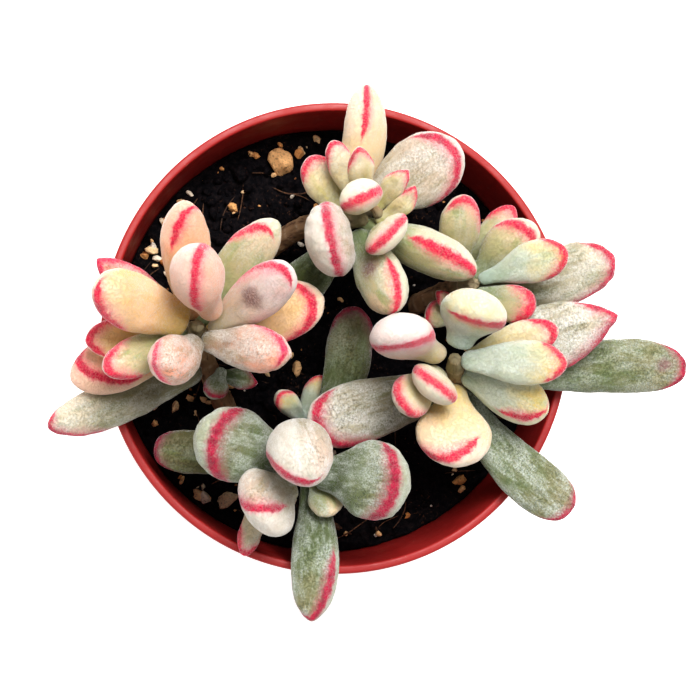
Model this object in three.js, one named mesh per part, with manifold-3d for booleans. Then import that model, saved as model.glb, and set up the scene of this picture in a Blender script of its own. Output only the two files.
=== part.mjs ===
// A potted variegated pig's ear: a small succulent with fat paired leaves, growing as five leafy
// heads out of a round moulded plastic pot filled with gritty soil.
//
// Millimetres, +Z up. The origin is the centre of the pot's underside. +X is the right of the plant
// and +Y is its back, as seen from above.

import * as THREE from "three";
import { mergeVertices } from "three/addons/utils/BufferGeometryUtils.js";
import Module from "manifold-3d";

// Driving dimensions

const POT = {
  height: 88,
  rimRadius: 54, // outside of the lip
  lipWidth: 1.9, // from the lip's outside to the inner wall
  bandHeight: 11, // the thicker band under the lip
  bandStep: 1.2, // how far the band stands proud of the wall below it
  wall: 1.3,
  floor: 1.8,
  innerRadiusUnderBand: 50.9,
  innerRadiusAtFloor: 41.5,
  cornerRadius: 2,
  segments: 48,
  drainHoles: 8,
  drainRadius: 3.5,
  drainCircle: 33,
};

const SOIL = {
  level: 69, // mean height of the soil's surface, well below the lip
  swell: 1.1, // how far the surface rises and falls
  sectors: 40,
  rings: 9,
  granules: 20, // small grains strewn besides the ones below
  granuleRadius: [0.9, 1.7],
  seed: 7,
};

// The grains and bits of bark that stand out on the soil: where each lies, its length and its width.

const GRAINS = [
  [-11.4, 41.9, 6.6, 5.2],
  [-20.9, 39.6, 5.6, 4.2],
  [-38.6, 27.2, 2.8, 2.4],
  [-34.6, 31.8, 2.4, 2.3],
  [-22.5, 31.1, 2.4, 2.2],
  [-6.7, 44.2, 2.6, 2.2],
  [-41.5, 21, 3, 2.4],
  [-38.5, 18, 2.6, 2.2],
  [-30, -36.4, 4.4, 2.8],
  [-23.8, -37.6, 5, 3],
  [-13.3, -15.8, 5.4, 3.8],
  [-7.4, -6.6, 3.3, 2.4],
  [31.5, -33, 4, 2.2],
];

const GAP = 0.35; // clearance left between pieces that touch

const STEM = {
  rootRadius: 2.7,
  topRadius: 2.2,
  buriedTo: 57, // the height of the stem's cut end inside the soil
  sides: 9,
  rings: 14,
  scarSpacing: 5, // leaf scars ring the stem this often
  scarHeight: 0.28,
};

// Materials

const plastic = (color, roughness) => new THREE.MeshStandardMaterial({ color, roughness, metalness: 0 });

const MATERIALS = {
  pot: plastic(0xb5483d, 0.45),
  soil: plastic(0x1b1513, 0.95),
  stem: plastic(0x8a7261, 0.85),
  cream: plastic(0xeadfb4, 0.5),
  salmon: plastic(0xf0c29c, 0.5),
  green: plastic(0x8f9f7c, 0.55),
  mint: plastic(0xd3dccb, 0.55),
};

// Each head grows on its own woody stem, given by the points that it passes through.

const STEMS = {
  left: [[-23, -18, STEM.buriedTo], [-24.5, -15.5, 70], [-29, -7, 79], [-32.4, -1, 91], [-33.7, 2, 109.5]],
  back: [[-17, 18, STEM.buriedTo], [-14, 21.5, 70], [-7, 25.8, 84], [4.2, 25.8, 105]],
  right: [[20, 8, STEM.buriedTo], [22, 9, 70], [26, 11, 84], [29.5, 12, 101]],
  middle: [[31, -17, STEM.buriedTo], [30.5, -15.5, 70], [28, -11, 86], [23.9, -4.8, 106]],
  front: [[0, -22, STEM.buriedTo], [-1, -23.5, 70], [-4.5, -27, 83], [-9, -31.5, 98]],
};

// What a leaf has when its row doesn't say otherwise. Angles are in degrees.
//   azimuth  the way it points, seen from above: 0 is right and 90 is back
//   rise     how steeply its middle climbs: 0 is level and 90 is upright
//   curl     how much more steeply it climbs at its tip than at its root
//   sweep    how far it turns sideways from root to tip, seen from above
//   roll     how far its upper face is turned about its own length
//   drop     how far below the stem's top it grows
//   root     the side of the stem that it stands on, where that isn't the way it points
//   neck     its width at the root, as a share of its full width
//   waist    0 if it widens at once, 1 if it keeps a narrow neck first
//   fullest  where it is widest, as a share of its length
//   point    0 for a round tip, 1 for a pointed one

const LEAF = {
  curl: 12,
  sweep: 0,
  roll: 0,
  neck: 0.4,
  waist: 0.4,
  fullest: 0.56,
  point: 0.25,
  tone: "cream",
  sides: 12,
  rings: 8,
};

const LEAVES = {
  left: [
    { id: "01", azimuth: 95.5, root: 112, rise: 30,
      length: 27.8, width: 11, thick: 7, drop: 8, tone: "salmon" },
    { id: "02", azimuth: 116, root: 40, rise: 58, roll: 50,
      length: 23, width: 12.4, thick: 11.6, drop: 0, tone: "salmon" },
    { id: "03", azimuth: 53, root: 68, sweep: -12, rise: 24,
      length: 29, width: 10.5, thick: 7, drop: 12.3, tone: "mint" },
    { id: "04", azimuth: 39.5, root: 2, rise: 50,
      length: 29.5, width: 11, thick: 7.6, drop: 6.5, neck: 0.3 },
    { id: "05", azimuth: 17, root: 0, rise: 16,
      length: 26.5, width: 13.8, thick: 7.5, drop: 10.6, neck: 0.3, waist: 1 },
    { id: "06", azimuth: -11, root: -54, rise: 42,
      length: 22.5, width: 10.5, thick: 8, drop: 3.4, point: 0.45, tone: "salmon" },
    { id: "07", azimuth: 161, rise: 38,
      length: 26, width: 12.6, thick: 8.5, drop: 2, neck: 0.55, tone: "salmon" },
    { id: "08", azimuth: 143, rise: 20,
      length: 26.5, width: 9.1, thick: 5, drop: 16, point: 0.7, tone: "salmon" },
    { id: "09", azimuth: 185, rise: 19, length: 23, width: 9.3, thick: 5.2, drop: 10.6 },
    { id: "10", azimuth: 204, rise: 29, length: 22.3, width: 8.8, thick: 5.8, drop: 7.1, tone: "mint" },
    { id: "11", azimuth: 200, rise: 7, length: 27, width: 12.5, thick: 6, drop: 13.8, tone: "salmon" },
    { id: "12", azimuth: 206, root: 262, sweep: -50, rise: 55,
      length: 17.5, width: 11, thick: 9, drop: 2, point: 0.6, tone: "mint" },
    { id: "13", azimuth: 201, root: 262, sweep: -6, rise: 17.5,
      length: 37.5, width: 10, thick: 7, drop: 22.8, tone: "green", neck: 0.55, fullest: 0.6 },
  ],
  back: [
    { id: "01", azimuth: 83, root: 40, sweep: 52, rise: 22, roll: 45,
      length: 30.5, width: 12, thick: 9, drop: 16, neck: 0.35 },
    { id: "02", azimuth: 124, rise: 24, length: 14.5, width: 8.6, thick: 6, drop: 7.6 },
    { id: "03", azimuth: 115, rise: 86, length: 11, width: 10, thick: 7.5, drop: 0 },
    { id: "04", azimuth: -45, rise: 80, length: 11.5, width: 12, thick: 6, drop: 0 },
    { id: "05", azimuth: 33, root: 20, rise: 13,
      length: 29, width: 16, thick: 9, drop: 12, neck: 0.26, waist: 1, fullest: 0.62, tone: "green" },
    { id: "06", azimuth: -24, root: -15, rise: 18, roll: 50,
      length: 27.6, width: 10.5, thick: 9.5, drop: 8.6 },
    { id: "07", azimuth: -66, root: -72, rise: 28, roll: 50,
      length: 21, width: 11.8, thick: 10, drop: 5.5 },
    { id: "08", azimuth: 192, root: 235, rise: 75,
      length: 20, width: 16.5, thick: 10.5, drop: 4, tone: "mint" },
    { id: "09", azimuth: 227, root: 290, rise: -20,
      length: 30, width: 11, thick: 7, drop: 11, tone: "green" },
  ],
  right: [
    { id: "01", azimuth: 90, root: 115, rise: 35, length: 20, width: 9.4, thick: 6.5, drop: 8.2 },
    { id: "02", azimuth: 55, rise: 10, length: 20.5, width: 7.6, thick: 4.5, drop: 13 },
    { id: "03", azimuth: 41.5, rise: 26,
      length: 18.5, width: 11.6, thick: 7, drop: 7.4, neck: 0.36, waist: 1 },
    { id: "04", azimuth: 18, root: 25, rise: 33,
      length: 21, width: 9.6, thick: 6, drop: 2.2, neck: 0.3, waist: 1, fullest: 0.62 },
    { id: "05", azimuth: -17, root: -45, rise: 39, length: 14.5, width: 9, thick: 5.4, drop: 3.5 },
    { id: "06", azimuth: 13, sweep: 24, rise: 9,
      length: 33.5, width: 13.5, thick: 8, drop: 10.5, tone: "green", neck: 0.5, fullest: 0.6, point: 0.1 },
  ],
  middle: [
    { id: "01", azimuth: 74, rise: 70, curl: 80, length: 18, width: 15, thick: 9, drop: 1, waist: 1 },
    { id: "02", azimuth: 159, rise: 58, curl: 70, roll: -60,
      length: 23.5, width: 14, thick: 9.5, drop: 4, waist: 1 },
    { id: "03", azimuth: -95, root: -102, rise: 33,
      length: 20, width: 17.2, thick: 9, drop: 12.5, neck: 0.35, waist: 1, tone: "salmon" },
    { id: "04", azimuth: -27, rise: 25, roll: 40, length: 20.5, width: 12, thick: 8.5, drop: 8.8 },
    { id: "05", azimuth: -3, rise: 36, length: 24.5, width: 9.8, thick: 6.5, drop: 2, tone: "mint" },
    { id: "06", azimuth: 20.2, root: 28, rise: 27, length: 22, width: 8.8, thick: 4.2, drop: 6.6 },
    { id: "07", azimuth: 20, root: 30, rise: 18.5,
      length: 36, width: 15.5, thick: 6.8, drop: 12.3, waist: 1, point: 0.9, tone: "green" },
    { id: "08", azimuth: 2, sweep: -14, rise: 9,
      length: 49.5, width: 12.6, thick: 7.2, drop: 16.2, tone: "green", neck: 0.45, fullest: 0.7, point: 0 },
    { id: "09", azimuth: -46, root: -70, sweep: 30, rise: 7,
      length: 36.5, width: 12.3, thick: 7, drop: 16.2, tone: "green", neck: 0.45, fullest: 0.7, point: 0 },
    { id: "10", azimuth: 196, rise: 2, length: 33, width: 14.5, thick: 8, drop: 19.5, tone: "green", neck: 0.55, fullest: 0.66, point: 0 },
  ],
  front: [
    { id: "01", azimuth: 105, root: 120, rise: 107, curl: 135,
      length: 26, width: 14.5, thick: 10, drop: 0.5, waist: 1, tone: "mint" },
    { id: "02", azimuth: 163.5, root: 160, rise: 32,
      length: 27.3, width: 16.8, thick: 9.5, drop: 6.3, neck: 0.32, waist: 1, tone: "green" },
    { id: "03", azimuth: 213, rise: 52,
      length: 17, width: 16.5, thick: 9, drop: 2.2, waist: 1, tone: "mint" },
    { id: "04", azimuth: -7, rise: 34,
      length: 22, width: 18, thick: 10, drop: 3.8, waist: 1, tone: "green" },
    { id: "05", azimuth: 176.5, rise: 2, length: 33.5, width: 10, thick: 7, drop: 13.6, tone: "green", neck: 0.5, fullest: 0.72, point: 0 },
    { id: "06", azimuth: -66, rise: 30, length: 9.8, width: 8, thick: 3.8, drop: 8.1, tone: "mint" },
    { id: "07", azimuth: -93, sweep: -12, rise: 17,
      length: 33.5, width: 10.8, thick: 7.5, drop: 11.5, tone: "green", neck: 0.5, fullest: 0.6, point: 0.4 },
    { id: "08", azimuth: 238, sweep: 52, rise: 6,
      length: 24, width: 5.5, thick: 4, drop: 11, tone: "mint", fullest: 0.66, point: 0 },
    { id: "09", azimuth: 77.5, root: 75, sweep: 30, rise: 4,
      length: 31, width: 10.8, thick: 7, drop: 18, tone: "green", neck: 0.55, fullest: 0.66, point: 0 },
  ],
};

// Small side shoots. Each has a short green twig, given as a stem is, with a few small leaves on it.

const SPROUTS = {
  left: {
    path: [[-26.2, -9.2, 81], [-26.4, -8.5, 83.5], [-26.6, -7.9, 86]],
    radius: 1.3,
    leaves: [
      { azimuth: -112, rise: 35, length: 7.5, width: 5.6, thick: 4.2, drop: 0.5 },
      { azimuth: -14, rise: 12, length: 8.6, width: 5, thick: 3.6, drop: 2, point: 0.8 },
    ],
  },
  back: {
    path: [[1.6, 30, 101.3], [4.2, 30.2, 101.5], [6.8, 28.6, 101.5], [7.8, 26.2, 101.3]],
    radius: 1.3,
    leaves: [
      { azimuth: 119, rise: 36, length: 17, width: 6, thick: 4.2, drop: 7.5 },
      { azimuth: 104, rise: 42, length: 15, width: 6, thick: 4.2, drop: 5.5, point: 0.6 },
      { azimuth: 52, rise: 40, length: 13, width: 5.6, thick: 4, drop: 2.5, point: 0.9, sweep: -10 },
      { azimuth: 46, rise: 34, length: 12, width: 5, thick: 3.4, drop: 0, point: 0.9, sweep: 50 },
    ],
  },
  right: {
    path: [[27.4, 5, 82], [27, 4.6, 85.5], [27.5, 5.8, 90]],
    radius: 1.3,
    leaves: [
      { azimuth: 138, rise: 30, length: 8.3, width: 3.6, thick: 3, drop: 0.5, point: 0.8 },
      { azimuth: 164, rise: 20, length: 7, width: 6.6, thick: 4, drop: 5 },
    ],
  },
  middle: {
    path: [[21.7, -11, 95], [21.4, -9.2, 97], [21.4, -8.2, 99]],
    radius: 1.5,
    leaves: [
      { azimuth: 233, rise: 74, curl: 30, length: 14, width: 12, thick: 6.5, drop: 0, waist: 1 },
      { azimuth: 215, rise: 42, curl: 50, length: 16, width: 9.8, thick: 5.5, drop: 1.5, waist: 1 },
    ],
  },
  front: {
    path: [[-5, -19.5, 60], [-6, -18.8, 70], [-7, -18.2, 76]],
    radius: 1.3,
    leaves: [
      { azimuth: 138, rise: 45, length: 11.5, width: 5.4, thick: 4.6, drop: 0 },
      { azimuth: 66, rise: 20, length: 11.5, width: 5.2, thick: 4, drop: 1.5 },
    ],
  },
};

// Small helpers

const radians = THREE.MathUtils.degToRad;
const mix = THREE.MathUtils.lerp;

/** A seeded random source that gives the same draws every time. */
function seededRandom(seed) {
  let state = seed;
  return () => {
    state = (state * 1664525 + 1013904223) % 4294967296;
    return state / 4294967296;
  };
}

/** A closed skin over rings of points: a fan over the first ring, bands, and a fan over the last. */
function skinOver(rings, firstPole, lastPole) {
  const positions = [];
  for (const ring of rings) for (const p of ring) positions.push(p.x, p.y, p.z);
  const sides = rings[0].length;
  const first = rings.length * sides;
  const last = first + 1;
  for (const pole of [firstPole, lastPole]) positions.push(pole.x, pole.y, pole.z);
  const faces = [];
  for (let j = 0; j < sides; j++) {
    const k = (j + 1) % sides;
    faces.push(first, k, j);
    for (let i = 0; i + 1 < rings.length; i++) {
      const [a, b] = [i * sides, (i + 1) * sides];
      faces.push(a + j, a + k, b + k, a + j, b + k, b + j);
    }
    const end = (rings.length - 1) * sides;
    faces.push(end + j, end + k, last);
  }
  const geometry = new THREE.BufferGeometry();
  geometry.setAttribute("position", new THREE.Float32BufferAttribute(positions, 3));
  geometry.setIndex(faces);
  return geometry;
}

const wasm = await Module();
wasm.setup();

/** The geometry as a solid that can be joined or cut. */
function solidOf(geometry) {
  const bare = geometry.clone();
  bare.deleteAttribute("normal");
  bare.deleteAttribute("uv");
  const merged = mergeVertices(bare, 1e-4);
  const mesh = new wasm.Mesh({
    numProp: 3,
    vertProperties: new Float32Array(merged.attributes.position.array),
    triVerts: new Uint32Array(merged.index.array),
  });
  return new wasm.Manifold(mesh);
}

/** A solid's surface as a geometry. */
function geometryOf(solid) {
  const mesh = solid.getMesh();
  const geometry = new THREE.BufferGeometry();
  geometry.setAttribute("position", new THREE.BufferAttribute(new Float32Array(mesh.vertProperties), 3));
  geometry.setIndex(new THREE.BufferAttribute(new Uint32Array(mesh.triVerts), 1));
  geometry.computeVertexNormals();
  return geometry;
}

// The pot

/** Radius of the pot's inner wall at a height. */
function innerRadius(z) {
  const bandFoot = POT.height - POT.bandHeight;
  const mouth = POT.rimRadius - POT.lipWidth;
  if (z > bandFoot) return mix(POT.innerRadiusUnderBand, mouth, (z - bandFoot) / POT.bandHeight);
  return mix(POT.innerRadiusAtFloor, POT.innerRadiusUnderBand, (z - POT.floor) / (bandFoot - POT.floor));
}

/** The moulded pot: a tapered cup with a banded lip and drain holes in its floor. */
function potGeometry() {
  const bandFoot = POT.height - POT.bandHeight;
  const lipTop = 0.7; // height over which the lip is rounded off
  const footRadius = POT.innerRadiusAtFloor + POT.wall;
  const wallTop = POT.innerRadiusUnderBand + POT.wall;
  const profile = [
    [0, 0],
    [footRadius - POT.cornerRadius, 0],
    [footRadius - 0.3 * POT.cornerRadius, 0.3 * POT.cornerRadius],
    [footRadius, POT.cornerRadius],
    [wallTop, bandFoot - 0.8],
    [wallTop + POT.bandStep, bandFoot],
    [POT.rimRadius, POT.height - lipTop],
    [POT.rimRadius - 0.5, POT.height - 0.1],
    [POT.rimRadius - 0.95, POT.height],
    [POT.rimRadius - 1.5, POT.height - 0.15],
    [POT.rimRadius - POT.lipWidth, POT.height - lipTop],
    [innerRadius(bandFoot), bandFoot],
    [innerRadius(POT.floor + 2), POT.floor + 2],
    [innerRadius(POT.floor) - 1.5, POT.floor],
    [0, POT.floor],
  ].map(([r, z]) => new THREE.Vector2(r, z));
  const cup = solidOf(new THREE.LatheGeometry(profile, POT.segments).rotateX(Math.PI / 2));
  const holes = [];
  for (let i = 0; i < POT.drainHoles; i++) {
    const turn = ((i + 0.5) * 2 * Math.PI) / POT.drainHoles;
    const drill = new THREE.CylinderGeometry(POT.drainRadius, POT.drainRadius, 3 * POT.floor, 12);
    drill.rotateX(Math.PI / 2);
    drill.translate(POT.drainCircle * Math.cos(turn), POT.drainCircle * Math.sin(turn), POT.floor / 2);
    holes.push(solidOf(drill));
  }
  return geometryOf(holes.reduce((pot, hole) => pot.subtract(hole), cup));
}

// The stems

/** The smooth line that a stem or twig follows. */
const curveThrough = (points) => new THREE.CatmullRomCurve3(points.map((p) => new THREE.Vector3(...p)));

/** Radius of a stem at a share of its length, with a leaf scar standing out now and then. */
function stemRadius(share, length) {
  const scar = Math.max(0, Math.cos((2 * Math.PI * share * length) / STEM.scarSpacing));
  const taper = 1 - 0.35 * THREE.MathUtils.smoothstep(share, 0.85, 1);
  return (mix(STEM.rootRadius, STEM.topRadius, share) + STEM.scarHeight * scar * scar) * taper;
}

/** A round rod along a curve, with rounded-off far end. */
function rodGeometry(curve, radiusAt, { rings, sides, grow = 0 }) {
  const frames = curve.computeFrenetFrames(rings, false);
  const loops = [];
  for (let i = 0; i <= rings; i++) {
    const centre = curve.getPointAt(i / rings);
    if (i === 0) centre.addScaledVector(frames.tangents[0], -grow);
    const radius = radiusAt(i / rings) + grow;
    loops.push(
      Array.from({ length: sides }, (_, j) => {
        const turn = (2 * Math.PI * j) / sides;
        return centre
          .clone()
          .addScaledVector(frames.normals[i], radius * Math.cos(turn))
          .addScaledVector(frames.binormals[i], radius * Math.sin(turn));
      }),
    );
  }
  const [foot, tip] = [curve.getPointAt(0), curve.getPointAt(1)];
  foot.addScaledVector(frames.tangents[0], -grow);
  tip.addScaledVector(frames.tangents[rings], 0.35 * radiusAt(1)); // the growing bud
  return skinOver(loops, foot, tip);
}

/** A woody stem, or with grow the same stem that much fatter, for cutting its hole in the soil. */
function stemGeometry(points, grow = 0) {
  const curve = curveThrough(points);
  const length = curve.getLength();
  return rodGeometry(curve, (share) => stemRadius(share, length), { ...STEM, grow });
}

/** A small side shoot: its twig and leaves joined in one body. */
function sproutGeometry(sprout) {
  const curve = curveThrough(sprout.path);
  let body = solidOf(twigGeometry(sprout));
  for (const row of sprout.leaves) {
    body = body.add(solidOf(leafGeometry({ sides: 8, rings: 6, ...row, onTwig: true }, curve)));
  }
  return geometryOf(body);
}

/** A side shoot's twig alone, or with grow a fatter one for its hole. */
function twigGeometry(sprout, grow = 0) {
  return rodGeometry(curveThrough(sprout.path), () => sprout.radius, { rings: 4, sides: 8, grow });
}

// The leaves

/** A leaf's half width, 0 to 1, at a share of its length. */
function widthShare(leaf, share) {
  if (share < leaf.fullest) {
    const s = share / leaf.fullest;
    const widening = mix(Math.sin(0.5 * Math.PI * s), s * s * (3 - 2 * s), leaf.waist);
    return mix(leaf.neck, 1, widening);
  }
  const s = (share - leaf.fullest) / (1 - leaf.fullest);
  return (1 - s ** mix(2.8, 1.5, leaf.point)) ** mix(0.5, 0.85, leaf.point);
}

/** A leaf's half thickness, 0 to 1, at a share of its length. */
function thicknessShare(share) {
  const [root, fullest] = [0.45, 0.5];
  if (share < fullest) {
    const s = share / fullest;
    return root + (1 - root) * s * s * (3 - 2 * s);
  }
  const s = (share - fullest) / (1 - fullest);
  return (1 - s ** 2.6) ** 0.55;
}

/** The ways that a leaf runs, spreads and faces at a share of its length. */
function leafAxes(leaf, share) {
  const turn = radians(leaf.azimuth + leaf.sweep * (share - 0.5));
  const climb = radians(leaf.rise + leaf.curl * (share - 0.5));
  const along = new THREE.Vector3(Math.cos(turn) * Math.cos(climb), Math.sin(turn) * Math.cos(climb), Math.sin(climb));
  const side = new THREE.Vector3(-Math.sin(turn), Math.cos(turn), 0);
  const up = new THREE.Vector3().crossVectors(along, side);
  side.applyAxisAngle(along, radians(leaf.roll));
  up.applyAxisAngle(along, radians(leaf.roll));
  return { along, side, up };
}

/** Points and axes along a leaf's middle, from its root on the stem to its tip. */
function leafSpine(leaf, curve) {
  const steps = 24;
  const length = curve.getLength();
  const share = 1 - leaf.drop / length;
  const centre = curve.getPointAt(share);
  if (!leaf.onTwig) {
    const start = radians(leaf.root ?? leaf.azimuth - leaf.sweep / 2);
    const outward = new THREE.Vector3(Math.cos(start), Math.sin(start), 0);
    const stemward = curve.getTangentAt(share);
    const square = outward.clone().addScaledVector(stemward, -outward.dot(stemward));
    const slant = square.length();
    square.divideScalar(slant);
    const { side, up } = leafAxes(leaf, 0);
    const half = Math.hypot(
      0.5 * leaf.width * widthShare(leaf, 0) * side.dot(square),
      0.58 * leaf.thick * thicknessShare(0) * up.dot(square),
    );
    centre.addScaledVector(outward, (stemRadius(share, length) + GAP + half) / slant);
  }
  const spine = [];
  for (let i = 0; i <= steps; i++) {
    const axes = leafAxes(leaf, i / steps);
    spine.push({ centre: centre.clone(), ...axes });
    centre.addScaledVector(axes.along, leaf.length / steps);
  }
  return spine;
}

/** One fat leaf: flatter above than below, with its margin running round the tip. */
function leafGeometry(row, curve) {
  const leaf = { ...LEAF, ...row };
  const spine = leafSpine(leaf, curve);
  const steps = spine.length - 1;
  const fatAbove = 0.84; // of the half thickness
  const fatBelow = 1.16;
  const rings = [];
  for (let i = 0; i < leaf.rings; i++) {
    const share = Math.sin((0.5 * Math.PI * i) / (leaf.rings - 0.35));
    const at = Math.min(share * steps, steps - 1e-6);
    const [here, next] = [spine[Math.floor(at)], spine[Math.floor(at) + 1]];
    const centre = here.centre.clone().lerp(next.centre, at % 1);
    const halfWidth = 0.5 * leaf.width * widthShare(leaf, share);
    const halfThick = 0.5 * leaf.thick * thicknessShare(share);
    rings.push(
      Array.from({ length: leaf.sides }, (_, j) => {
        const turn = (2 * Math.PI * j) / leaf.sides;
        const fat = Math.sin(turn) > 0 ? fatAbove : fatBelow;
        return centre
          .clone()
          .addScaledVector(here.side, halfWidth * Math.cos(turn))
          .addScaledVector(here.up, halfThick * fat * Math.sin(turn));
      }),
    );
  }
  return skinOver(rings, spine[0].centre, spine[steps].centre);
}

// The soil

/** Height of the soil's surface: low swells that never repeat across the pot. */
function soilHeight(x, y) {
  const swell = Math.sin(0.11 * x + 1.3) * Math.cos(0.13 * y - 0.4) + 0.5 * Math.sin(0.31 * x - 0.27 * y);
  return SOIL.level + SOIL.swell * swell;
}

/** The soil that fills the pot, with grit standing out of it and a plain hole for each stem. */
function soilGeometry() {
  const ringAt = (radius, heightOf) =>
    Array.from({ length: SOIL.sectors }, (_, j) => {
      const turn = (2 * Math.PI * j) / SOIL.sectors;
      const [x, y] = [radius * Math.cos(turn), radius * Math.sin(turn)];
      return new THREE.Vector3(x, y, heightOf(x, y));
    });
  const shrink = Math.cos(Math.PI / POT.segments); // the pot's facets lie inside its true circle
  const floorZ = POT.floor + GAP;
  const top = (innerRadius(SOIL.level) - SOIL.swell * 0.3) * shrink - GAP;
  const rings = [
    ringAt((innerRadius(POT.floor) - 1.5) * shrink - GAP, () => floorZ),
    ringAt(innerRadius(POT.floor + 2) * shrink - GAP, () => floorZ + 2),
  ];
  for (let i = 0; i < SOIL.rings; i++) rings.push(ringAt(top * (1 - i / SOIL.rings), soilHeight));
  let soil = solidOf(
    skinOver(rings, new THREE.Vector3(0, 0, floorZ), new THREE.Vector3(0, 0, soilHeight(0, 0))),
  );
  const random = seededRandom(SOIL.seed);
  const grains = [...GRAINS];
  for (let i = 0; i < SOIL.granules; i++) {
    const reach = (top - 4) * Math.sqrt(random());
    const turn = 2 * Math.PI * random();
    const size = 2 * mix(...SOIL.granuleRadius, random());
    grains.push([reach * Math.cos(turn), reach * Math.sin(turn), 1.2 * size, size]);
  }
  for (const [x, y, long, wide] of grains) {
    const grain = new THREE.OctahedronGeometry(0.56, 0).rotateZ(6 * random()).rotateX(3 * random());
    grain.scale(long, wide, 0.8 * wide).translate(x, y, soilHeight(x, y) + 0.12 * wide);
    soil = soil.add(solidOf(grain));
  }
  for (const points of Object.values(STEMS)) soil = soil.subtract(solidOf(stemGeometry(points, GAP)));
  soil = soil.subtract(solidOf(twigGeometry(SPROUTS.front, GAP)));
  return geometryOf(soil);
}

// Assembly

const plant = new THREE.Group();

/** Adds one named piece. */
function addPiece(name, geometry, material) {
  if (!geometry.getAttribute("normal")) geometry.computeVertexNormals();
  const mesh = new THREE.Mesh(geometry, material);
  mesh.name = name;
  plant.add(mesh);
}

addPiece("pot", potGeometry(), MATERIALS.pot);
addPiece("soil", soilGeometry(), MATERIALS.soil);
for (const [head, points] of Object.entries(STEMS)) {
  addPiece(`${head}_stem`, stemGeometry(points), MATERIALS.stem);
  for (const row of LEAVES[head]) {
    const tone = MATERIALS[row.tone ?? LEAF.tone];
    addPiece(`${head}_leaf_${row.id}`, leafGeometry(row, curveThrough(points)), tone);
  }
  addPiece(`${head}_sprout`, sproutGeometry(SPROUTS[head]), MATERIALS.cream);
}

export default plant;
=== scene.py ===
"""A potted variegated pig's ear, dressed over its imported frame.

Fat succulent leaves with pink margins grow as five leafy heads on woody stems, out of gritty black
soil in a round moulded pot. Every length in the classes below is in millimetres, as in the part's
own source, and becomes metres where a mesh is made.
"""

import logging
import math
import random
from collections.abc import Callable
from dataclasses import dataclass, replace
from enum import Enum
from functools import partial, reduce

import bmesh
import bpy
import numpy as np
from mathutils import Euler, Matrix, Vector, noise

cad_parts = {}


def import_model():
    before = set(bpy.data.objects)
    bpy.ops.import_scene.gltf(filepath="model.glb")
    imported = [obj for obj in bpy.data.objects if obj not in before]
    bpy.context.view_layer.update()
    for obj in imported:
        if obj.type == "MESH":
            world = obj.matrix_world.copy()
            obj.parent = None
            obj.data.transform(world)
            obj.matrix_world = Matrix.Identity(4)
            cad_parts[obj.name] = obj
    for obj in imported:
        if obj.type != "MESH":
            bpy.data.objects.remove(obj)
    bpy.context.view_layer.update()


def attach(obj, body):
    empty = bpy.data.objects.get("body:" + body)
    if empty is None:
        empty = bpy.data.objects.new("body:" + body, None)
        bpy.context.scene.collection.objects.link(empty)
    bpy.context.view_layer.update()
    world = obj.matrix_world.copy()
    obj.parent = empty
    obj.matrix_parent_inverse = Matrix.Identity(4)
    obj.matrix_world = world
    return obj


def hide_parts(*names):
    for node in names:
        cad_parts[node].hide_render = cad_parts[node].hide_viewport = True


MM = 0.001
LOG = logging.getLogger("pigs_ear")


# Colour and shader nodes


def linear(sheet_colour: str) -> tuple[float, float, float, float]:
    """Turn an sRGB hex colour into Blender's linear RGBA.

    Args:
        sheet_colour: six hex digits, such as "b5483d".

    Returns:
        Linear red, green and blue, and an alpha of 1.
    """
    parts = [int(sheet_colour[i : i + 2], 16) / 255 for i in (0, 2, 4)]
    flat = [c / 12.92 if c <= 0.04045 else ((c + 0.055) / 1.055) ** 2.4 for c in parts]
    return (flat[0], flat[1], flat[2], 1.0)


def feed(node: bpy.types.Node, inputs: dict) -> None:
    """Give a node's inputs what they need.

    Args:
        node: the node.
        inputs: an output socket, a number, a vector or a hex colour for each input's name or number.
    """
    for name, value in inputs.items():
        if isinstance(value, bpy.types.NodeSocket):
            node.id_data.links.new(value, node.inputs[name])
        else:
            node.inputs[name].default_value = linear(value) if isinstance(value, str) else value


def add_node(
    tree: bpy.types.NodeTree,
    kind: str,
    inputs: dict,
    output: int | str = 0,
    ramp: tuple = (),
    **settings: str,
) -> bpy.types.NodeSocket:
    """Add a shader node with its settings and its links.

    Args:
        tree: the material's node tree.
        kind: the node's type after "ShaderNode", such as "TexNoise".
        inputs: what feeds each input.
        output: the name or number of the output to hand back.
        ramp: the positions and hex colours of a colour ramp.
        settings: the node's own properties.

    Returns:
        The node's output socket.
    """
    node = tree.nodes.new(f"ShaderNode{kind}")
    for name, value in settings.items():
        setattr(node, name, value)
    stops = node.color_ramp.elements if ramp else ()
    while len(stops) < len(ramp):
        stops.new(1.0)
    for stop, (place, colour) in zip(stops, ramp):
        stop.position = place
        stop.color = linear(colour)
    feed(node, inputs)
    return node.outputs[output]


def new_material(name: str) -> tuple[bpy.types.Material, bpy.types.NodeTree, bpy.types.Node]:
    """Start a node material.

    Args:
        name: what the real surface is.

    Returns:
        The material, its node tree, and its Principled shader.
    """
    material = bpy.data.materials.new(name)
    material.use_nodes = True
    tree = material.node_tree
    return material, tree, tree.nodes["Principled BSDF"]


def lay_over(tree: bpy.types.NodeTree, colour: object, *layers: tuple) -> bpy.types.NodeSocket:
    """Lay thin layers of colour over a ground.

    Args:
        tree: the material's node tree.
        colour: the ground, as hex or an output socket.
        layers: for each, the shares that multiply to its cover, and then its colour.

    Returns:
        The colour that shows.
    """
    for *shares, above in layers:
        cover = reduce(lambda a, b: add_node(tree, "Math", {0: a, 1: b}, operation="MULTIPLY"), shares)
        colour = add_node(tree, "Mix", {0: cover, 6: colour, 7: above}, 2, data_type="RGBA")
    return colour


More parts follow.
